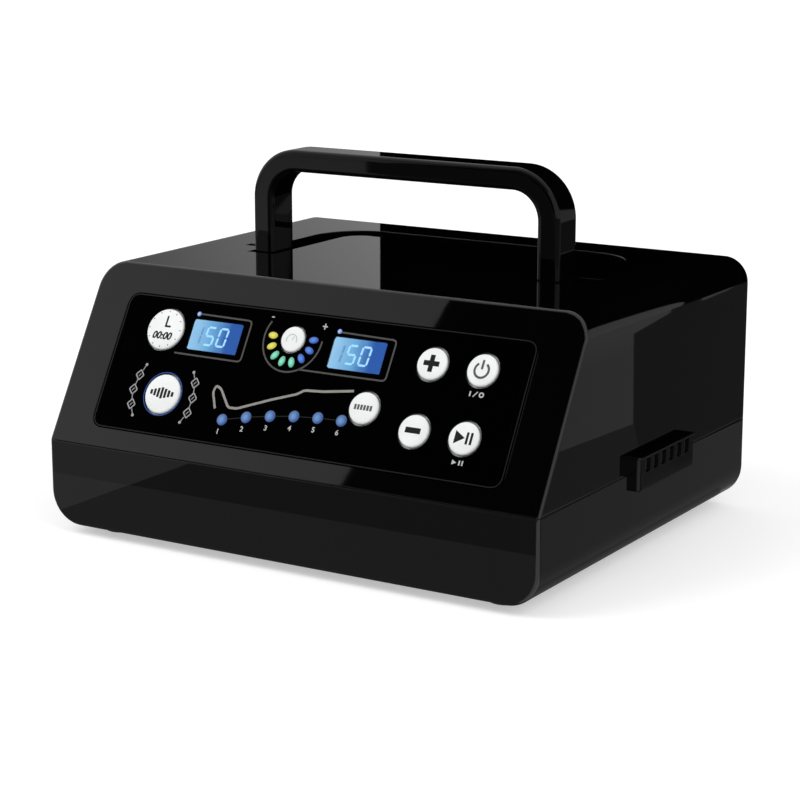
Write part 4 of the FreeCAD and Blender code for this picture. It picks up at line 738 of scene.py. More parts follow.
def make_piece(name: str, points: Sequence[Vector], faces: Sequence[Sequence[int]], finish: Finish,
               slot: Slot, body: str, smooth_below: float = 0.0) -> bpy.types.Object:
    """Makes a mesh object, dresses it and lets it ride on a CAD body.

    Args:
        name: the piece's name.
        points: its vertices in the row frame, in metres.
        faces: its faces, anticlockwise seen from outside.
        finish: its finish.
        slot: not used.
        body: the CAD body it rides on.
        smooth_below: edges under this angle, in degrees, are shaded smooth; 0 leaves them all sharp.

    Returns:
        The new object.
    """
    mesh = bpy.data.meshes.new(name)
    mesh.from_pydata([tuple(point) for point in points], [], [list(face) for face in faces])
    mesh.validate()
    mesh.materials.append(PALETTE.material(finish))
    if smooth_below:
        mesh.shade_smooth()
        mesh.set_sharp_from_angle(angle=math.radians(smooth_below))
    made = bpy.data.objects.new(name, mesh)
    bpy.context.scene.collection.objects.link(made)
    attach(made, body)
    LOG.info("built %s on %s", name, body)
    return made


def arc(centre: Point, radius: float, start: float, end: float, steps: int = 24) -> Outline:
    """Points along a round arc.

    Args:
        centre: the arc's middle.
        radius: its radius.
        start: first angle in degrees, anticlockwise from the right.
        end: last angle in degrees.
        steps: how many pieces it is cut into.

    Returns:
        Its points, both ends included.
    """
    angles = [math.radians(start + (end - start) * n / steps) for n in range(steps + 1)]
    return [(centre[0] + radius * math.cos(a), centre[1] + radius * math.sin(a)) for a in angles]


def softened(corners: Sequence[Point], radius: float, closed: bool = False, steps: int = 6) -> Outline:
    """A line whose corners are rounded.

    Args:
        corners: the line's corners.
        radius: how far from a corner its rounding starts.
        closed: whether the last corner joins the first.
        steps: how many pieces each rounding is cut into.

    Returns:
        The rounded line's points.
    """
    count = len(corners)
    line: Outline = []
    for n, corner in enumerate(corners):
        if not closed and n in (0, count - 1):
            line.append(corner)
            continue
        here = Vector(corner)
        ends = []
        for other in (corners[n - 1], corners[(n + 1) % count]):
            way = Vector(other) - here
            ends.append(here + way.normalized() * min(radius, way.length / 2.0))
        for step in range(steps + 1):
            t = step / steps
            bent = ends[0] * (1 - t) ** 2 + here * (2 * t * (1 - t)) + ends[1] * t ** 2
            line.append((bent.x, bent.y))
    return line


@dataclass
class Relief:
    """Flat shapes drawn in a plane, then raised into one closed mesh."""

    points: Outline = field(default_factory=list)
    faces: list[list[int]] = field(default_factory=list)

    def outline(self, corners: Sequence[Point]) -> "Relief":
        """Adds a filled outline.

        Args:
            corners: its corners, anticlockwise and without dents.

        Returns:
            This relief.
        """
        first = len(self.points)
        self.points += corners
        self.faces.append(list(range(first, first + len(corners))))
        return self

    def disc(self, centre: Point, radius: float, sides: int = 28) -> "Relief":
        """Adds a filled disc."""
        return self.outline(arc(centre, radius, 0.0, 360.0 * (1 - 1 / sides), sides - 1))

    def rectangle(self, centre: Point, width: float, height: float) -> "Relief":
        """Adds a filled upright rectangle.

        Args:
            centre: its middle.
            width: its width.
            height: its height.

        Returns:
            This relief.
        """
        (x, y), half_x, half_y = centre, width / 2.0, height / 2.0
        return self.outline([(x - half_x, y - half_y), (x + half_x, y - half_y),
                             (x + half_x, y + half_y), (x - half_x, y + half_y)])

    def ribbon(self, line: Sequence[Point], width: float, closed: bool = False) -> "Relief":
        """Adds a stripe of even width along a line.

        Args:
            line: the stripe's middle line.
            width: its width.
            closed: whether its end joins its start.

        Returns:
            This relief.
        """
        first = len(self.points)
        count = len(line)
        for n in range(count):
            before = Vector(line[n - 1] if closed or n else line[0])
            after = Vector(line[(n + 1) % count] if closed or n < count - 1 else line[-1])
            here = Vector(line[n])
            ways = [way.normalized() for way in (here - before, after - here) if way.length > 0]
            along = sum(ways, Vector((0.0, 0.0))).normalized()
            side = Vector((-along.y, along.x))
            mitre = max(0.5, abs(side.dot(Vector((-ways[0].y, ways[0].x)))))
            reach = side * (width / 2.0 / mitre)
            self.points += [tuple(here - reach), tuple(here + reach)]
        for n in range(count if closed else count - 1):
            a, b = first + 2 * n, first + 2 * ((n + 1) % count)
            self.faces.append([a, b, b + 1, a + 1])
        return self

    def diced(self, step: float) -> "Relief":
        """Cuts the shapes along a grid, so that they can follow a crowned face.

        Args:
            step: the grid's pitch in mm.

        Returns:
            The cut relief.
        """
        nearness = step / 1000.0
        cutter = bmesh.new()
        corners = [cutter.verts.new((x, y, 0.0)) for x, y in self.points]
        for face in self.faces:
            cutter.faces.new([corners[n] for n in face])
        bmesh.ops.remove_doubles(cutter, verts=cutter.verts, dist=nearness)
        for axis in (0, 1):
            places = [point[axis] for point in self.points]
            across = Vector((1.0 - axis, float(axis), 0.0))
            for n in range(math.ceil(min(places) / step), math.floor(max(places) / step) + 1):
                everything = [*cutter.verts, *cutter.edges, *cutter.faces]
                bmesh.ops.bisect_plane(cutter, geom=everything, dist=nearness,
                                       plane_co=across * (n * step), plane_no=across)
        cutter.verts.index_update()
        cut = Relief([(vertex.co.x, vertex.co.y) for vertex in cutter.verts],
                     [[vertex.index for vertex in face.verts] for face in cutter.faces])
        cutter.free()
        return cut

    def moved(self, shift: Point) -> "Relief":
        """Gives this relief moved in its plane."""
        return Relief([(x + shift[0], y + shift[1]) for x, y in self.points], [*self.faces])

    def leaning(self, lean: float) -> "Relief":
        """Gives this relief slanted to the right by a share of its height."""
        return Relief([(x + lean * y, y) for x, y in self.points], [*self.faces])

    def joined(self, other: "Relief") -> "Relief":
        """Adds another relief's shapes to this one.

        Args:
            other: the relief to add.

        Returns:
            This relief.
        """
        first = len(self.points)
        self.points += other.points
        self.faces += [[first + n for n in face] for face in other.faces]
        return self

    def raise_on(self, name: str, centre: Point, level: float | Callable[[Point], float], thickness: float,
                 finish: Finish, slot: Slot, body: str = CASING_BODY) -> bpy.types.Object:
        """Raises the shapes from the panel into a closed mesh.

        Args:
            name: the piece's name.
            centre: where the plane's zero lies on the panel.
            level: the shapes' underside in mm out of the slope, or what gives it for a point.
            thickness: how far the shapes stand above that, in mm.
            finish: the piece's finish.
            slot: the record's material slot it stands for.
            body: the CAD body it rides on.

        Returns:
            The new object.
        """
        count = len(self.points)
        levels = [level((x, y)) if callable(level) else level for x, y in self.points]
        lower = [PANEL.at(centre[0] + x, centre[1] + y, w) for (x, y), w in zip(self.points, levels)]
        upper = [point + PANEL.out * (thickness * MM) for point in lower]
        edges = {(face[n - 1], face[n]) for face in self.faces for n in range(len(face))}
        walls = [[a, b, b + count, a + count] for a, b in sorted(edges) if (b, a) not in edges]
        tops = [[n + count for n in face] for face in self.faces]
        bottoms = [list(reversed(face)) for face in self.faces]
        return make_piece(name, lower + upper, tops + bottoms + walls, finish, slot, body)


@dataclass(frozen=True)
class Turned:
    """A solid turned about an axis that stands on the panel."""

    profile: Outline
    sides: int = 96
    smooth_below: float = 40.0

    def build(self, name: str, centre: Point, finish: Finish, slot: Slot, body: str = CASING_BODY,
              stretch: Point = (1.0, 1.0), turn: float = 0.0) -> bpy.types.Object:
        """Turns the profile into a closed mesh.

        Args:
            name: the piece's name.
            centre: the axis' U and V.
            finish: the piece's finish.
            slot: the record's material slot it stands for.
            body: the CAD body it rides on.
            stretch: stretch along and across the turned direction.
            turn: that direction's angle in degrees.

        Returns:
            The new object. Its profile starts and ends on the axis.
        """
        rings = self.profile[1:-1]
        cos_turn, sin_turn = math.cos(math.radians(turn)), math.sin(math.radians(turn))
        points = [PANEL.at(*centre, self.profile[0][1])]
        for radius, height in rings:
            for n in range(self.sides):
                angle = 2 * math.pi * n / self.sides
                along = radius * math.cos(angle) * stretch[0]
                across = radius * math.sin(angle) * stretch[1]
                points.append(PANEL.at(centre[0] + along * cos_turn - across * sin_turn,
                                       centre[1] + along * sin_turn + across * cos_turn, height))
        points.append(PANEL.at(*centre, self.profile[-1][1]))
        faces = [[0, 1 + (n + 1) % self.sides, 1 + n] for n in range(self.sides)]
        for ring in range(len(rings) - 1):
            start = 1 + ring * self.sides
            for n in range(self.sides):
                m = (n + 1) % self.sides
                faces.append([start + n, start + m, start + self.sides + m, start + self.sides + n])
        last = 1 + (len(rings) - 1) * self.sides
        faces += [[last + n, last + (n + 1) % self.sides, len(points) - 1] for n in range(self.sides)]
        return make_piece(name, points, faces, finish, slot, body, self.smooth_below)


@dataclass(frozen=True)
class Dome:
    """A low lens, round or long, that stands on the panel."""

    OUTWARD = "outward"

    centre: Point
    half_length: float
    half_width: float
    height: float = 0.35
    turn: float = 0.0
    sunk: float = 0.12
    steps: int = 8
    sides: int = 36

    def build(self, name: str, finish: Finish) -> bpy.types.Object:
        """Makes the lens and notes on each point how far out it lies.

        Args:
            name: the piece's name.
            finish: the lens' finish.

        Returns:
            The new object.
        """
        angles = [math.pi / 2 * n / self.steps for n in range(self.steps + 1)]
        rim = [(math.cos(a), SHEET_TOP + self.height * math.sin(a)) for a in angles]
        profile = [(0.0, SHEET_TOP - self.sunk), (1.0, SHEET_TOP - self.sunk)] + rim
        made = Turned(profile, self.sides).build(name, self.centre, finish, Slot.LAMP, turn=self.turn,
                                                 stretch=(self.half_length, self.half_width))
        radii = [0.0] + [radius for radius, height in profile[1:-1] for side in range(self.sides)] + [0.0]
        outward = made.data.attributes.new(self.OUTWARD, "FLOAT", "POINT")
        outward.data.foreach_set("value", radii)
        return made


# ---- numerals ---------------------------------------------------------------------------------------


@dataclass(frozen=True)
class SegmentDigit:
    """One digit of seven bars, drawn about its middle."""

    LIT = {"0": "abcdef", "1": "bc", "5": "acdfg"}

    height: float
    width: float
    stroke: float
    gap: float = 0.12

    def bar(self, start: Point, end: Point) -> Outline:
        """Outlines a bar with pointed ends between two corners of the digit.

        Args:
            start: the first corner.
            end: the second corner.

        Returns:
            The bar's corners.
        """
        a, b = Vector(start), Vector(end)
        along = (b - a).normalized()
        side = Vector((-along.y, along.x)) * (self.stroke / 2.0)
        a, b = a + along * self.stroke * self.gap, b - along * self.stroke * self.gap
        point = along * (self.stroke / 2.0)
        corners = [a, a + point - side, b - point - side, b, b - point + side, a + point + side]
        return [tuple(corner) for corner in corners]

    def draw(self, digit: str) -> Relief:
        """Draws one digit.

        Args:
            digit: the digit, one of those in LIT.

        Returns:
            Its bars.
        """
        x, y = (self.width - self.stroke) / 2.0, (self.height - self.stroke) / 2.0
        bars = {"a": ((-x, y), (x, y)), "b": ((x, 0.0), (x, y)), "c": ((x, -y), (x, 0.0)),
                "d": ((-x, -y), (x, -y)), "e": ((-x, -y), (-x, 0.0)), "f": ((-x, 0.0), (-x, y)),
                "g": ((-x, 0.0), (x, 0.0))}
        drawn = Relief()
        for letter in self.LIT[digit]:
            drawn.outline(self.bar(*bars[letter]))
        return drawn


def numeral(text: str, height: float, lean: float = 0.0, weight: float = 0.02) -> Relief:
    """Draws plain numerals with Blender's own typeface, centred on zero.

    Args:
        text: the numerals.
        height: their height in mm.
        lean: slant to the right as a share of the height.
        weight: how much their strokes are thickened.

    Returns:
        The numerals as flat triangles.
    """
    curve = bpy.data.curves.new("numeral", "FONT")
    curve.body = text
    curve.offset = weight
    holder = bpy.data.objects.new("numeral", curve)
    bpy.context.scene.collection.objects.link(holder)
    mesh = bpy.data.meshes.new_from_object(holder.evaluated_get(bpy.context.evaluated_depsgraph_get()))
    bpy.data.objects.remove(holder)
    places = [vertex.co for vertex in mesh.vertices]
    low = [min(place[axis] for place in places) for axis in (0, 1)]
    high = [max(place[axis] for place in places) for axis in (0, 1)]
    middle_x, middle_y = (low[0] + high[0]) / 2, (low[1] + high[1]) / 2
    scale = height / (high[1] - low[1])
    points = [((place.x - middle_x) * scale, (place.y - middle_y) * scale) for place in places]
    faces = [list(face.vertices) for face in mesh.polygons]
    bpy.data.meshes.remove(mesh)
    return Relief(points, faces).leaning(lean)


# ---- sub-assemblies ---------------------------------------------------------------------------------


@dataclass(frozen=True)
class Casing:
    """The cover, the tray, the feet and the screws between them."""

    feet: tuple[str, ...] = ("foot_front_left", "foot_front_right", "foot_rear_left", "foot_rear_right")

    def build(self) -> None:
        """Dresses the casing."""
        PALETTE.dress(CASING_BLACK, "upper_cover", "base_tray")
        PALETTE.dress(RUBBER_BLACK, *self.feet)
        PALETTE.dress(STEEL, "case_screws")


@dataclass(frozen=True)
class CarryHandle:
    """The folding bail and its two pins."""

    def build(self) -> None:
        """Dresses the handle."""
        PALETTE.dress(HANDLE_BLACK, "handle")
        PALETTE.dress(STEEL, "handle_pin_left", "handle_pin_right")


class KeyMark(Enum):
    """The signs on the keys."""

    CLOCK = "clock"
    LEVELS = "levels"
    GAUGE = "gauge"
    ZONES = "zones"
    PLUS = "plus"
    MINUS = "minus"
    POWER = "power"
    PLAY_PAUSE = "play_pause"

    def draw(self) -> Relief:
        """Draws the sign about the key's middle, in mm."""
        return getattr(self, "draw_" + self.value)()

    @staticmethod
    def draw_clock() -> Relief:
        """Draws the ticks of a dial, two hands and a row of numerals.

        Returns:
            The sign.
        """
        ticks, tick_start, tick_end, tick_width = 12, 8.3, 9.0, 0.35
        hands, hand_width = [(0.2, 6.4), (0.2, 1.3), (3.0, 1.3)], 0.95
        digits = numeral("00:00", height=3.7, lean=0.2, weight=0.035)
        drawn = Relief()
        for n in range(ticks):
            angle = math.radians(360 / ticks * n)
            reach = Vector((math.cos(angle), math.sin(angle)))
            drawn.ribbon([tuple(reach * tick_start), tuple(reach * tick_end)], tick_width)
        return drawn.ribbon(hands, hand_width).joined(digits.moved((-0.2, -3.3)))

    @staticmethod
    def draw_levels() -> Relief:
        """Draws seven bars of rising and falling height.

        Returns:
            The sign.
        """
        heights, pitch, width, middle_y = (2.2, 3.3, 4.4, 5.4, 4.4, 3.3, 2.2), 1.95, 1.3, 0.2
        drawn = Relief()
        for n, height in enumerate(heights):
            drawn.rectangle(((n - 3) * pitch, middle_y), width, height)
        return drawn

    @staticmethod
    def draw_gauge() -> Relief:
        """Draws a small dial with a needle.

        Returns:
            The sign.
        """
        middle, tip, radius, width = (0.0, -0.6), (1.2, 1.1), 2.7, 0.45
        return Relief().ribbon(arc(middle, radius, 200.0, -20.0), width).ribbon([middle, tip], width)

    @staticmethod
    def draw_zones() -> Relief:
        """Draws six small blocks in a row.

        Returns:
            The sign.
        """
        pitch, width, height = 1.6, 1.1, 2.4
        drawn = Relief()
        for n in range(6):
            drawn.rectangle(((n - 2.5) * pitch, 0.0), width, height)
        return drawn

    @staticmethod
    def draw_plus() -> Relief:
        """Draws a plus sign.

        Returns:
            The sign.
        """
        long, half = 3.9, 1.15
        drawn = Relief().outline([(-long, -half), (-half, -half), (half, -half), (long, -half),
                                  (long, half), (half, half), (-half, half), (-long, half)])
        drawn.outline([(-half, half), (half, half), (half, long), (-half, long)])
        return drawn.outline([(-half, -long), (half, -long), (half, -half), (-half, -half)])

    @staticmethod
    def draw_minus() -> Relief:
        """Draws a minus sign."""
        return Relief().rectangle((0.0, 0.0), 7.6, 2.6)

    @staticmethod
    def draw_power() -> Relief:
        """Draws an open ring with a bar in its gap.

        Returns:
            The sign.
        """
        radius, width = 3.4, 1.05
        ring = arc((0.0, -0.2), radius, start=125.0, end=415.0, steps=40)
        return Relief().ribbon(ring, width).ribbon([(0.0, 0.2), (0.0, 4.5)], width)

    @staticmethod
    def draw_play_pause() -> Relief:
        """Draws a triangle and two bars.

        Returns:
            The sign.
        """
        width, height = 1.1, 5.4
        drawn = Relief().outline([(-4.2, -3.0), (0.8, 0.0), (-4.2, 3.0)])
        return drawn.rectangle((1.9, 0.0), width, height).rectangle((3.9, 0.0), width, height)


@dataclass(frozen=True)
class KeyCap:
    """One round key: a softly crowned white cap with a printed sign, in the place of its CAD node.

    The cap is as wide as the CAD key without its flange, less the trim, and lies lower by the sink.
    """

    node: str
    mark: KeyMark
    ink: Finish = KEY_INK
    flange: float = 1.0
    flange_top: float = -2.9
    flange_height: float = 1.2
    stem_radius: float = 2.0
    rounding: float = 0.9
    crown: float = 0.28
    face_rings: int = 8
    trim: float = 0.45
    sink: float = 0.35
    print_thickness: float = 0.05
    sign_grid: float = 0.9

    @property
    def body(self) -> str:
        """The CAD body that the key moves with."""
        return self.node + "_body"

    def radius(self) -> float:
        """Gives the cap's radius; the CAD node's widest ring is its flange."""
        low, high = PANEL.span(self.node)
        return (high.x - low.x) / 2.0 - self.flange - self.trim

    def level(self, place: Point) -> float:
        """Gives the height of the cap's face.

        Args:
            place: a point in the cap's plane, from its middle.

        Returns:
            The height over that point, in mm out of the slope.
        """
        top = PANEL.span(self.node)[1].z - self.sink
        share = math.hypot(*place) / self.radius()
        return top - self.crown * share * share

    def profile(self) -> Outline:
        """Outlines half the cap.

        Returns:
            Radii and heights from the stem's end to the middle of the face.
        """
        radius = self.radius()
        under = self.flange_top - self.flange_height
        bottom = PANEL.span(self.node)[0].z
        flat = radius - self.rounding
        edge = arc((flat, self.level((flat, 0.0)) - self.rounding), self.rounding, 0.0, 90.0, 6)
        radii = [flat * n / self.face_rings for n in range(self.face_rings - 1, 0, -1)]
        face = [(out, self.level((out, 0.0))) for out in radii]
        return [(0.0, bottom), (self.stem_radius, bottom), (self.stem_radius, under),
                (radius + self.flange, under), (radius + self.flange, self.flange_top),
                (radius, self.flange_top), *edge, *face, (0.0, self.level((0.0, 0.0)))]

    def build(self) -> None:
        """Builds the cap and its sign."""
        centre = PANEL.middle(self.node)
        cap = Turned(self.profile()).build(self.node + "_cap", centre, KEY_WHITE, Slot.KEY, self.body)
        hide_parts(self.node)
        sign = self.mark.draw().diced(self.sign_grid)
        sign.raise_on(self.node + "_sign", centre, self.level, self.print_thickness, self.ink, Slot.DARK,
                      self.body)


@dataclass(frozen=True)
class Display:
    """One display: a clear lens, a lit face under it, and its digits."""

    side: str
    corner: float = 1.4
    lens_thickness: float = 0.5
    face_gap: float = 0.06
    light: tuple[Colour, Colour, Colour] = ((0.32, 0.6, 0.84), (0.15, 0.4, 0.67), (0.012, 0.085, 0.36))
    digits: str = "50"
    digit: SegmentDigit = SegmentDigit(height=9.6, width=5.4, stroke=1.05)
    digit_places: tuple[float, ...] = (-3.1, 3.9)
    digit_thickness: float = 0.03
    lean: float = 0.08
    ghost: str = "1"
    ghost_places: tuple[float, ...] = (-10.2,)

    def plate(self, name: str, finish: Finish, slot: Slot, under: float, top: float) -> bpy.types.Object:
        """Makes a plate with rounded corners, as wide and high as the window.

        Args:
            name: the piece's name.
            finish: the plate's finish.
            slot: the record's material slot.
            under: its lower face in mm out of the slope.
            top: its upper face.

        Returns:
            The new object.
        """
        low, high = PANEL.span("display_window_" + self.side)
        corners = [(low.x, low.y), (high.x, low.y), (high.x, high.y), (low.x, high.y)]
        shape = Relief().outline(softened(corners, self.corner, closed=True))
        return shape.raise_on(name, (0.0, 0.0), under, top - under, finish, slot)

    def number(self, name: str, text: str, places: Sequence[float], level: float, ink: Finish) -> None:
        """Lays a row of digits on the lit face.

        Args:
            name: the piece's name.
            text: the digits.
            places: the digits' middles in mm to the right of the window's.
            level: the lit face in mm out of the slope.
            ink: the digits' finish.
        """
        drawn = Relief()
        for digit, place in zip(text, places):
            drawn.joined(self.digit.draw(digit).leaning(self.lean).moved((place, 0.0)))
        centre = PANEL.middle("display_window_" + self.side)
        drawn.raise_on(name, centre, level, self.digit_thickness, ink, Slot.DISPLAY)

    def build(self) -> None:
        """Builds the lens, the lit face and its digits, lit and unlit, and dresses the module behind."""
        window = "display_window_" + self.side
        low, high = PANEL.span(window)
        lens_under = high.z - self.lens_thickness
        face_top = lens_under - self.face_gap
        lens = self.plate("display_lens_" + self.side, WINDOW_CLEAR, Slot.WINDOW, lens_under, high.z)
        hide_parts(window)
        lit = BacklitGlass("display_lit_" + self.side, *self.light, left_x=PANEL.at(low.x, 0.0).x,
                           right_x=PANEL.at(high.x, 0.0).x)
        self.plate("display_face_" + self.side, lit, Slot.DISPLAY, low.z, face_top)
        self.number("display_digits_" + self.side, self.digits, self.digit_places, face_top, DIGIT_INK)
        self.number("display_ghost_" + self.side, self.ghost, self.ghost_places, face_top, GHOST_INK)
        PALETTE.dress(COMPONENT_BLACK, "display_" + self.side)


@dataclass(frozen=True)
class PanelPrint:
    """The lines and signs printed on the overlay, in panel millimetres."""

    thickness: float = 0.05
    line_width: float = 0.8
    border_width: float = 3.4
    border_outset: tuple[float, float] = (0.3, 1.5)
    border_level: float = 0.03
    edge_width: float = 0.5
    edge_inset: float = 0.9
    corner_radius: float = 6.5
    bracket_left: tuple[Point, ...] = ((-66.5, 69.6), (-37.5, 69.2), (-37.7, 49.3), (-75.0, 49.6))
    bracket_right: tuple[Point, ...] = ((10.6, 69.2), (40.0, 68.6), (39.7, 49.5), (-5.6, 49.5))
    bracket_corner: float = 2.2
    dial_arc_radius: float = 15.5
    dial_arc_span: tuple[float, float] = (152.0, 363.0)
    foot_line: tuple[Point, ...] = ((-43.8, 26.2), (-47.3, 33.6), (-46.6, 36.9), (-43.6, 35.8),
                                    (-36.9, 27.5), (-32.2, 27.6), (-14.8, 34.2), (-2.8, 38.2), (0.4, 40.4),
                                    (10.1, 41.0), (25.6, 43.2))
    foot_line_corner: float = 1.4
    foot_line_width: float = 1.15
    chains: tuple[tuple[Point, ...], ...] = (
        ((-88.1, 42.1), (-90.2, 36.8), (-91.5, 29.6), (-90.2, 22.5), (-87.6, 17.3)),
        ((-60.9, 41.5), (-58.5, 36.6), (-57.4, 29.4), (-57.9, 22.2), (-60.5, 17.3)),
    )
    chain_dot: float = 0.75
    diamond: tuple[float, float] = (2.2, 2.5)
    diamond_corner: float = 0.5
    diamond_mark: tuple[float, float] = (0.5, 0.7)
    diamond_mark_width: float = 0.4
    chain_width: float = 0.6
    chain_link: float = 0.7
    zone_link_width: float = 0.45
    numeral_shift: tuple[float, float] = (-0.6, -5.6)
    numeral_height: float = 2.5
    label_drop: float = 10.9
    bar_size: tuple[float, float] = (0.65, 2.2)

    def put(self, name: str, drawn: Relief, finish: Finish, level: float = SHEET_TOP) -> None:
        """Prints a relief on the overlay, or at another level."""
        drawn.raise_on(name, (0.0, 0.0), level, self.thickness, finish, Slot.KEY)

    def frame_line(self, inset: float) -> Outline:
        """Outlines the overlay's printed border.

        Args:
            inset: how far inside the border's outer edge the line runs, in mm.

        Returns:
            The line's points, with rounded corners.
        """
        low, high = PANEL.span("control_overlay")
        u, v = (self.border_outset[0] - inset, self.border_outset[1] - inset)
        left, right, bottom, top = low.x - u, high.x + u, low.y - v, high.y + v
        corners = [(left, bottom), (right, bottom), (right, top), (left, top)]
        return softened(corners, self.corner_radius - inset, closed=True, steps=10)

    def border(self) -> None:
        """Lays the overlay's black border over the edge of its recess, with a thin line along it."""
        film = Relief().ribbon(self.frame_line(self.border_width / 2.0), self.border_width, True)
        film.raise_on("overlay_border", (0.0, 0.0), SHEET_TOP, self.border_level - SHEET_TOP, OVERLAY_BLACK,
                      Slot.OVERLAY)
        line = Relief().ribbon(self.frame_line(self.edge_inset), self.edge_width, True)
        self.put("print_edge_line", line, EDGE_INK, self.border_level)

    def brackets(self) -> Relief:
        """Draws the lines round the displays and under the dial.

        Returns:
            The lines.
        """
        drawn = Relief().ribbon(softened(self.bracket_left, self.bracket_corner), self.line_width)
        drawn.ribbon(softened(self.bracket_right, self.bracket_corner), self.line_width)
        centre = PANEL.middle("pressure_key")
        return drawn.ribbon(arc(centre, self.dial_arc_radius, *self.dial_arc_span, 48), self.line_width)

    def chain_lines(self) -> Relief:
        """Draws the two chains of dots and diamonds beside the mode key.

        Returns:
            The chains.
        """
        mark_u, mark_v = self.diamond_mark
        drawn = Relief()
        half_u, half_v = self.diamond
        for chain in self.chains:
            for place in (chain[0], chain[-1]):
                drawn.disc(place, self.chain_dot, 16)
            for u, v in chain[1:-1]:
                rhomb = [(u + half_u, v), (u, v + half_v), (u - half_u, v), (u, v - half_v)]
                rhomb = softened(rhomb, self.diamond_corner, closed=True, steps=3)
                drawn.ribbon(rhomb, self.chain_width, closed=True)
                drawn.ribbon([(u - mark_u, v - mark_v), (u + mark_u, v + mark_v)], self.diamond_mark_width)
            for start, end in zip(chain, chain[1:]):
                a, b = Vector(start), Vector(end)
                along = (b - a).normalized()
                drawn.ribbon([tuple(a + along * (self.chain_dot if start == chain[0] else half_v)),
                              tuple(b - along * (self.chain_dot if end == chain[-1] else half_v))],
                             self.chain_width * self.chain_link)
        return drawn

    def power_label(self) -> Relief:
        """Draws a bar, a stroke and a ring under the power key.

        Returns:
            The sign.
        """
        drawn = Relief().rectangle((-3.0, 0.0), 0.7, self.bar_size[1])
        drawn.ribbon([(-1.4, -1.2), (0.5, 1.2)], 0.5)
        drawn.ribbon(arc((2.6, 0.0), 0.95, start=0.0, end=345.0, steps=23), 0.6, closed=True)
        u, v = PANEL.middle("power_key")
        return drawn.moved((u, v - self.label_drop))

    def start_label(self) -> Relief:
        """Draws a triangle and two bars under the start key.

        Returns:
            The sign.
        """
        drawn = Relief().outline([(-2.8, -1.1), (-0.6, 0.0), (-2.8, 1.1)])
        drawn.rectangle((0.8, 0.0), *self.bar_size).rectangle((2.3, 0.0), *self.bar_size)
        u, v = PANEL.middle("start_key")
        return drawn.moved((u, v - self.label_drop))

    def dial_labels(self) -> Relief:
        """Draws a minus and a plus beside the dial's lamps.

        Returns:
            The signs.
        """
        plus_u, plus_v, long, short, stroke = 14.9, 7.8, 2.6, 1.1, 0.6
        drawn = Relief().rectangle((-13.7, 9.3), 1.5, 0.5)
        drawn.rectangle((plus_u, plus_v), long, stroke)
        for side in (1.0, -1.0):
            drawn.rectangle((plus_u, plus_v + side * (stroke + short) / 2.0), stroke, short)
        return drawn.moved(PANEL.middle("pressure_key"))

    def build(self, lamps: Sequence[Point]) -> None:
        """Prints everything.

        Args:
            lamps: the zone lamps' places.
        """
        self.border()
        self.put("print_brackets", self.brackets(), LINE_INK)
        foot = Relief().ribbon(softened(self.foot_line, self.foot_line_corner), self.foot_line_width)
        self.put("print_foot_outline", foot, OUTLINE_INK)
        self.put("print_mode_chains", self.chain_lines(), CHAIN_INK)
        links = Relief()
        for start, end in zip(lamps, lamps[1:]):
            links.ribbon([start, end], self.zone_link_width)
        self.put("print_zone_links", links, EDGE_INK)
        labels = self.power_label().joined(self.start_label()).joined(self.dial_labels())
        self.put("print_key_labels", labels, NUMERAL_INK)
        for n, lamp in enumerate(lamps, 1):
            drawn = numeral(str(n), self.numeral_height).moved(self.numeral_shift).moved(lamp)
            self.put(f"print_numeral_{n}", drawn, NUMERAL_INK)


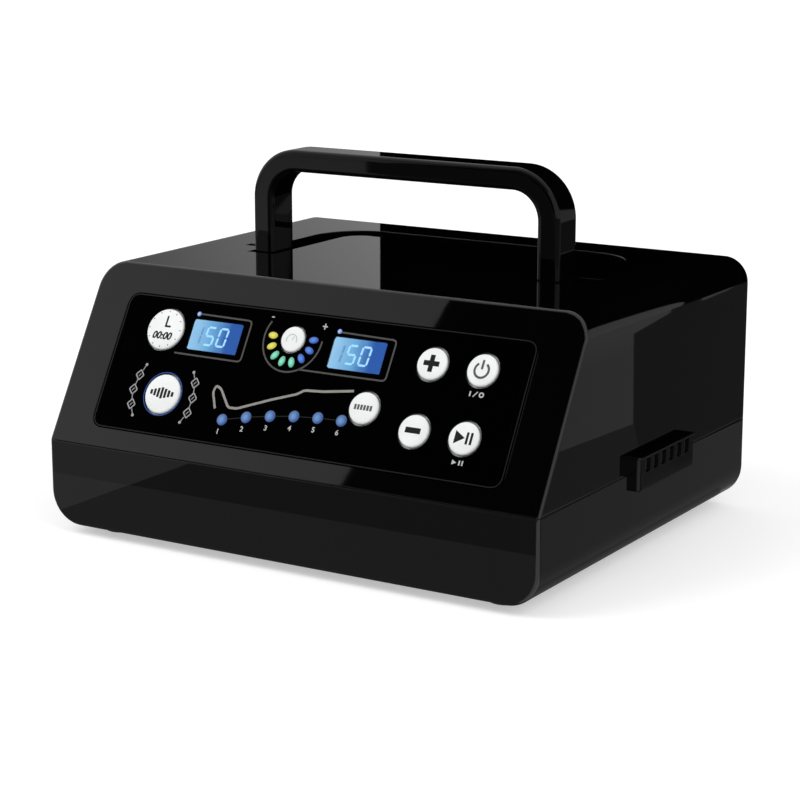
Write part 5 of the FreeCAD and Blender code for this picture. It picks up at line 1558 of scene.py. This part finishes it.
@dataclass(frozen=True)
class ControlPanel:
    """The overlay sheet with its print, lamps, displays and keys."""

    RIGHT_TRIM = 0.65

    dial_ring: float = 11.0
    dial_first: float = 176.0
    dial_step: float = 26.9
    dial_finishes: tuple[Finish, ...] = (YELLOW_JEWEL, YELLOW_JEWEL, MINT_JEWEL, MINT_JEWEL, MINT_JEWEL,
                                         BLUE_JEWEL, BLUE_JEWEL, BLUE_JEWEL)
    dial_lamp: tuple[float, float] = (2.5, 1.6)
    zone_count: int = 6
    zone_lamp: float = 2.75
    zone_lamp_height: float = 0.5
    point_lamp: float = 1.15
    point_lamp_shift: tuple[float, float] = (1.6, 2.6)
    halo_gap: float = 0.95
    halo_width: float = 0.4
    halo_thickness: float = 0.05
    keys: tuple[KeyCap, ...] = (
        KeyCap("time_key", KeyMark.CLOCK),
        KeyCap("mode_key", KeyMark.LEVELS),
        KeyCap("pressure_key", KeyMark.GAUGE, FAINT_KEY_INK),
        KeyCap("zone_key", KeyMark.ZONES, SOFT_KEY_INK, trim=RIGHT_TRIM),
        KeyCap("plus_key", KeyMark.PLUS, trim=RIGHT_TRIM),
        KeyCap("minus_key", KeyMark.MINUS, trim=RIGHT_TRIM),
        KeyCap("power_key", KeyMark.POWER, SOFT_KEY_INK, trim=RIGHT_TRIM),
        KeyCap("start_key", KeyMark.PLAY_PAUSE, trim=RIGHT_TRIM),
    )

    def zone_places(self) -> list[Point]:
        """Reads the zone lamps' places from their light pipes, which stand in order along U.

        Returns:
            The places in panel millimetres.
        """
        low, high = PANEL.span("zone_light_pipes")
        points = [vertex.co - PANEL.origin for vertex in frame["nodes"]["zone_light_pipes"].data.vertices]
        flat = [(point.dot(PANEL.right) / MM, point.dot(PANEL.up) / MM) for point in points]
        pitch = (high.x - low.x) / self.zone_count
        places = []
        for n in range(self.zone_count):
            near = [place for place in flat if low.x + n * pitch <= place[0] <= low.x + (n + 1) * pitch]
            sides = [[place[axis] for place in near] for axis in (0, 1)]
            places.append(tuple((min(side) + max(side)) / 2.0 for side in sides))
        return places

    def lamps(self, zone_places: Sequence[Point]) -> None:
        """Sets the lenses over the light pipes, and the small lamp at each display.

        Args:
            zone_places: the zone lamps' places.
        """
        centre = PANEL.middle("pressure_key")
        for n, finish in enumerate(self.dial_finishes):
            angle = self.dial_first + n * self.dial_step
            place = arc(centre, self.dial_ring, angle, angle, 1)[0]
            Dome(place, *self.dial_lamp, turn=angle).build(f"dial_jewel_{n + 1}", finish)
        for n, place in enumerate(zone_places, 1):
            lens = Dome(place, self.zone_lamp, self.zone_lamp, self.zone_lamp_height)
            lens.build(f"zone_jewel_{n}", ZONE_JEWEL)
        for side in ("left", "right"):
            low, high = PANEL.span("display_window_" + side)
            place = (low.x + self.point_lamp_shift[0], high.y + self.point_lamp_shift[1])
            Dome(place, self.point_lamp, self.point_lamp).build(f"display_point_{side}", POINT_JEWEL)

    def halo(self) -> None:
        """Builds the blue ring of light round the mode key."""
        key = next(key for key in self.keys if key.mark is KeyMark.LEVELS)
        ring = arc((0.0, 0.0), key.radius() + self.halo_gap, start=0.0, end=355.0, steps=71)
        drawn = Relief().ribbon(ring, self.halo_width, closed=True)
        drawn.raise_on("mode_halo_ring", PANEL.middle(key.node), SHEET_TOP, self.halo_thickness, HALO_BLUE,
                       Slot.LAMP)

    def build(self) -> None:
        """Builds the panel."""
        PALETTE.dress(OVERLAY_BLACK, "control_overlay")
        PALETTE.dress(LAMP_CLEAR, "dial_light_pipes", "zone_light_pipes")
        zone_places = self.zone_places()
        for key in self.keys:
            key.build()
        for side in ("left", "right"):
            Display(side).build()
        PanelPrint().build(zone_places)
        self.lamps(zone_places)
        self.halo()


@dataclass(frozen=True)
class HoseOutlet:
    """The block of hose ports on the right wall."""

    def build(self) -> None:
        """Dresses the block."""
        PALETTE.dress(OUTLET_BLACK, "outlet_socket")
        frame["nodes"]["outlet_socket"].visible_glossy = False


@dataclass(frozen=True)
class Works:
    """Everything inside the casing, and the mains inlet in its rear wall."""

    plungers: int = 6

    def build(self) -> None:
        """Dresses the works."""
        PALETTE.dress(COMPONENT_BLACK, "mains_inlet", "key_switches", "control_chips", "buzzer",
                      "power_components", "valve_coils")
        PALETTE.dress(BRASS, "mains_pins")
        PALETTE.dress(STEEL, "inlet_screws", "control_board_screws", "power_board_screws", "swing_arm_left",
                      "swing_arm_right", *[f"valve_plunger_{n + 1}" for n in range(self.plungers)])
        PALETTE.dress(CIRCUIT_BOARD, "control_board", "power_board")
        PALETTE.dress(RUBBER_BLACK, "outlet_hoses", "supply_hose", "bridge_hose", "compressor_mounts",
                      "diaphragm_left", "diaphragm_right")
        PALETTE.dress(MOULDED_GREY, "valve_manifold")
        PALETTE.dress(CAST_ALUMINIUM, "compressor_base", "compressor_head_left", "compressor_head_right")
        PALETTE.dress(CORE_IRON, "compressor_core")
        PALETTE.dress(WINDING_COPPER, "compressor_coil")
        PALETTE.dress(FELT_GREY, "intake_filter")


# ---- studio -----------------------------------------------------------------------------------------


def stage_sheet(name: str, corners: Sequence[Triple], material: bpy.types.Material) -> bpy.types.Object:
    """Stands one flat sheet in the studio, apart from the object.

    Args:
        name: the sheet's name.
        corners: its corners in metres.
        material: its material.

    Returns:
        The new object.
    """
    mesh = bpy.data.meshes.new(name)
    mesh.from_pydata(corners, [], [list(range(len(corners)))])
    mesh.materials.append(material)
    made = bpy.data.objects.new(name, mesh)
    bpy.context.scene.collection.objects.link(made)
    return made


@dataclass(frozen=True)
class Card:
    """A flat card that only gloss sees: it gives the polished faces something grey or black to mirror.

    With a far tone, the tone changes evenly from one end of the run to the other, along the axis.
    """

    name: str
    corners: tuple[Triple, ...]
    tone: float
    far_tone: float | None = None
    axis: str = "X"
    run: Point = (0.0, 1.0)

    def material(self) -> bpy.types.Material:
        """Makes the card's light.

        Returns:
            The material.
        """
        tree = ShaderTree(self.name)
        light = tree.node("ShaderNodeEmission")
        if self.far_tone is None:
            light.inputs["Color"].default_value = (self.tone, self.tone, self.tone, 1.0)
        else:
            split = tree.node("ShaderNodeSeparateXYZ")
            tree.link(tree.place(), split.inputs["Vector"])
            along = tree.spread(split.outputs[self.axis], self.tone, self.far_tone, *self.run)
            tree.link(along, light.inputs["Color"])
        tree.link(light.outputs["Emission"], tree.output.inputs["Surface"])
        return tree.material

    def build(self) -> None:
        """Stands the card in the studio and hides it from all but gloss."""
        card = stage_sheet(self.name, self.corners, self.material())
        for way in ("camera", "diffuse", "transmission", "volume_scatter", "shadow"):
            setattr(card, "visible_" + way, False)


@dataclass(frozen=True)
class SoftLamp:
    """A soft square lamp that looks at the object: place and side in metres, power in watts."""

    name: str
    place: Triple
    side: float
    power: float

    def build(self) -> None:
        """Hangs the lamp, out of sight."""
        light = bpy.data.lights.new(self.name, "AREA")
        light.size = self.side
        light.energy = self.power
        holder = bpy.data.objects.new(self.name, light)
        holder.location = self.place
        holder.rotation_mode = "QUATERNION"
        holder.rotation_quaternion = Vector(self.place).to_track_quat("Z", "Y")
        for way in ("camera", "glossy", "transmission"):
            setattr(holder, "visible_" + way, False)
        bpy.context.scene.collection.objects.link(holder)


@dataclass(frozen=True)
class Studio:
    """The floor, the light, the cards and the camera.

    A floor card holds its name, its outline and a Card's tones; each lies a step above the last.
    """

    camera_place: Triple = (0.5524, -0.9094, 0.3083)
    azimuth: float = 31.6
    elevation: float = 13.2
    lens: float = 103.4
    clip: Point = (0.01, 60.0)
    floor_half: float = 9.0
    floor_colour: Colour = (0.8, 0.8, 0.8)
    floor_roughness: float = 0.9
    floor_specular: float = 0.1
    floor_lift: tuple[float, float] = (0.46, 0.62)
    floor_lift_run: tuple[float, float] = (0.5, 1.8)
    sky_level: float = 0.55
    lamps: tuple[SoftLamp, ...] = (
        SoftLamp("lamp_left", (-1.3, -1.5, 1.9), 1.6, 26.0),
        SoftLamp("lamp_right", (1.7, -0.6, 1.6), 1.4, 14.0),
    )
    cards: tuple[Card, ...] = (
        Card("overhead_dark", ((-0.7, -0.9, 1.5), (-1.616, -2.1, 1.5), (1.2, -2.1, 1.5), (1.2, -0.9, 1.5)),
             0.0),
        Card("overhead_grey", ((-2.6, -0.9, 1.501), (-0.7, -0.9, 1.501), (-1.616, -2.1, 1.501),
                               (-2.6, -2.1, 1.501)), 0.8, 0.6, "X", (-1.9, -1.0)),
        Card("behind_dark", ((-0.771, 1.2, 0.0), (0.7, 1.2, 0.0), (0.74, 1.2, 0.42), (1.6, 1.2, 0.42),
                             (1.6, 1.2, 1.3), (-0.2, 1.2, 1.3), (-0.771, 1.2, 0.56)), 0.0),
        Card("behind_low", ((0.7, 1.2, 0.0), (1.6, 1.2, 0.0), (1.6, 1.2, 0.42), (0.74, 1.2, 0.42)), 0.33),
        Card("behind_grey", ((-1.35, 1.201, 0.12), (-0.771, 1.201, 0.12), (-0.771, 1.201, 0.75),
                             (-1.35, 1.201, 0.75)), 0.03, 0.4, "X", (-1.35, -0.771)),
        Card("front_dark", ((-0.93, -1.5, 0.1), (0.9, -1.5, 0.1), (0.9, -1.5, 0.95), (-0.93, -1.5, 0.95)),
             0.0),
        Card("front_grey", ((-1.8, -1.5, 0.1), (-0.93, -1.5, 0.1), (-0.93, -1.5, 0.95), (-1.8, -1.5, 0.95)),
             0.85),
    )
    floor_cards: tuple[tuple[str, Outline, tuple], ...] = (
        ("floor_wide", [(-9.0, -9.0), (9.0, -9.0), (9.0, 9.0), (-9.0, 9.0)], (0.24,)),
        ("floor_handle_left", [(-1.6, -1.5), (-0.974, -1.5), (-0.275, -0.4), (-0.9, -0.4)],
         (0.8, 1.0, "Y", (-1.15, -0.8))),
        ("floor_handle_right", [(-0.974, -1.5), (0.3, -1.5), (0.3, -0.4), (-0.275, -0.4)], (0.12,)),
        ("floor_far_left", [(-0.7, -0.4), (-0.153, -0.4), (-0.153, -0.186), (-0.7, -0.186)], (0.36,)),
        ("floor_near_left", [(-0.7, -0.186), (-0.153, -0.186), (-0.153, 0.1), (-0.7, 0.1)], (0.46,)),
        ("floor_far_right", [(-0.153, -0.4), (0.3, -0.4), (0.3, -0.186), (-0.153, -0.186)], (0.137,)),
        ("floor_near_right", [(-0.153, -0.186), (0.3, -0.186), (0.3, -0.1), (-0.153, -0.1)], (0.25,)),
        ("floor_corner", [(0.114, -0.108), (0.114, -0.25), (0.34, -0.25), (0.34, -0.05), (0.14, -0.085)],
         (1.0,)),
        ("floor_side_low", [(0.12, -0.085), (0.2, -0.05), (0.193, 0.25), (0.17, 0.9), (0.12, 0.9)], (0.15,)),
        ("floor_side_band", [(0.2, -0.05), (0.262, -0.03), (0.242, 0.225), (0.1955, 0.14)], (0.088,)),
        ("floor_side_high", [(0.262, -0.03), (0.9, -0.03), (0.9, 1.2), (0.635, 1.2), (0.373, 0.61),
                             (0.352, 0.452), (0.242, 0.225)], (0.21, 0.27, "X", (0.325, 0.375))),
        ("floor_side_rear", [(0.242, 0.225), (0.352, 0.452), (0.373, 0.61), (0.635, 1.2), (0.16, 1.2),
                             (0.17, 0.9), (0.193, 0.25), (0.1955, 0.14)], (0.06,)),
        ("floor_handle_side", [(0.39, 0.574), (0.7, 1.172), (0.7, 1.2), (0.678, 1.2), (0.39, 0.633)],
         (0.06,)),
        ("floor_under", [(-0.13, -0.106), (0.118, -0.106), (0.128, -0.096), (0.128, 0.106), (-0.13, 0.106)],
         (0.1,)),
    )
    floor_card_step: float = 0.0001

    @staticmethod
    def seen_directly(tree: NodeTree) -> Socket:
        """Gives 1 for camera, glossy and transmission rays, and 0 for the rest.

        Args:
            tree: the node tree that the nodes go into.

        Returns:
            The factor output.
        """
        path = tree.node("ShaderNodeLightPath")
        last = path.outputs["Is Camera Ray"]
        for name in ("Is Glossy Ray", "Is Transmission Ray"):
            larger = tree.node("ShaderNodeMath", operation="MAXIMUM")
            tree.link(last, larger.inputs[0])
            tree.link(path.outputs[name], larger.inputs[1])
            last = larger.outputs["Value"]
        return last

    def sky(self) -> None:
        """Makes a white surround for the camera and for gloss, and a softer one for matte surfaces."""
        world = bpy.data.worlds.new("studio_sky")
        bpy.context.scene.world = world
        world.use_nodes = True
        tree = NodeTree(world.node_tree)
        mix = tree.node("ShaderNodeMixShader")
        tree.link(self.seen_directly(tree), mix.inputs["Fac"])
        for place, strength in ((1, self.sky_level), (2, 1.0)):
            light = tree.node("ShaderNodeBackground")
            light.inputs["Color"].default_value = WHITE
            light.inputs["Strength"].default_value = strength
            tree.link(light.outputs["Background"], mix.inputs[place])
        tree.link(mix.outputs["Shader"], tree.node("ShaderNodeOutputWorld").inputs["Surface"])

    def floor(self) -> None:
        """Lays a pale floor that keeps the object's shadow and is nearly white to the eye."""
        tree = ShaderTree("studio_floor")
        shader = tree.principled(self.floor_colour, self.floor_roughness, Emission_Color=WHITE,
                                 Specular_IOR_Level=self.floor_specular)
        lift = tree.node("ShaderNodeMath", operation="MULTIPLY")
        reach = tree.node("ShaderNodeVectorMath", operation="LENGTH")
        tree.link(tree.place(), reach.inputs[0])
        tree.link(self.seen_directly(tree), lift.inputs[0])
        outward = tree.spread(reach.outputs["Value"], *self.floor_lift, *self.floor_lift_run)
        tree.link(outward, lift.inputs[1])
        tree.link(lift.outputs["Value"], shader.inputs["Emission Strength"])
        half = self.floor_half
        corners = [(-half, -half, 0.0), (half, -half, 0.0), (half, half, 0.0), (-half, half, 0.0)]
        stage_sheet("studio_floor", corners, tree.material)

    def camera(self) -> None:
        """Sets the camera."""
        data = bpy.data.cameras.new("camera")
        data.lens = self.lens
        data.clip_start, data.clip_end = self.clip
        holder = bpy.data.objects.new("camera", data)
        sideways = Matrix.Rotation(math.radians(self.azimuth), 4, "Z")
        upright = Matrix.Rotation(math.radians(90.0 - self.elevation), 4, "X")
        holder.matrix_world = Matrix.Translation(self.camera_place) @ (sideways @ upright)
        bpy.context.scene.collection.objects.link(holder)
        bpy.context.scene.camera = holder

    def build(self) -> None:
        """Builds the studio."""
        bpy.context.scene.view_settings.view_transform = "Standard"
        self.sky()
        self.floor()
        for lamp in self.lamps:
            lamp.build()
        for card in self.cards:
            card.build()
        for n, (name, outline, tones) in enumerate(self.floor_cards, 1):
            Card(name, tuple((x, y, n * self.floor_card_step) for x, y in outline), *tones).build()
        self.camera()


def main() -> None:
    """Builds every sub-assembly in order, then the studio."""
    logging.basicConfig(level=logging.INFO, format="%(name)s: %(message)s")
    for part in (Casing(), CarryHandle(), ControlPanel(), HoseOutlet(), Works(), Studio()):
        LOG.info("building %s", type(part).__name__)
        part.build()


if __name__ == "__main__":
    main()
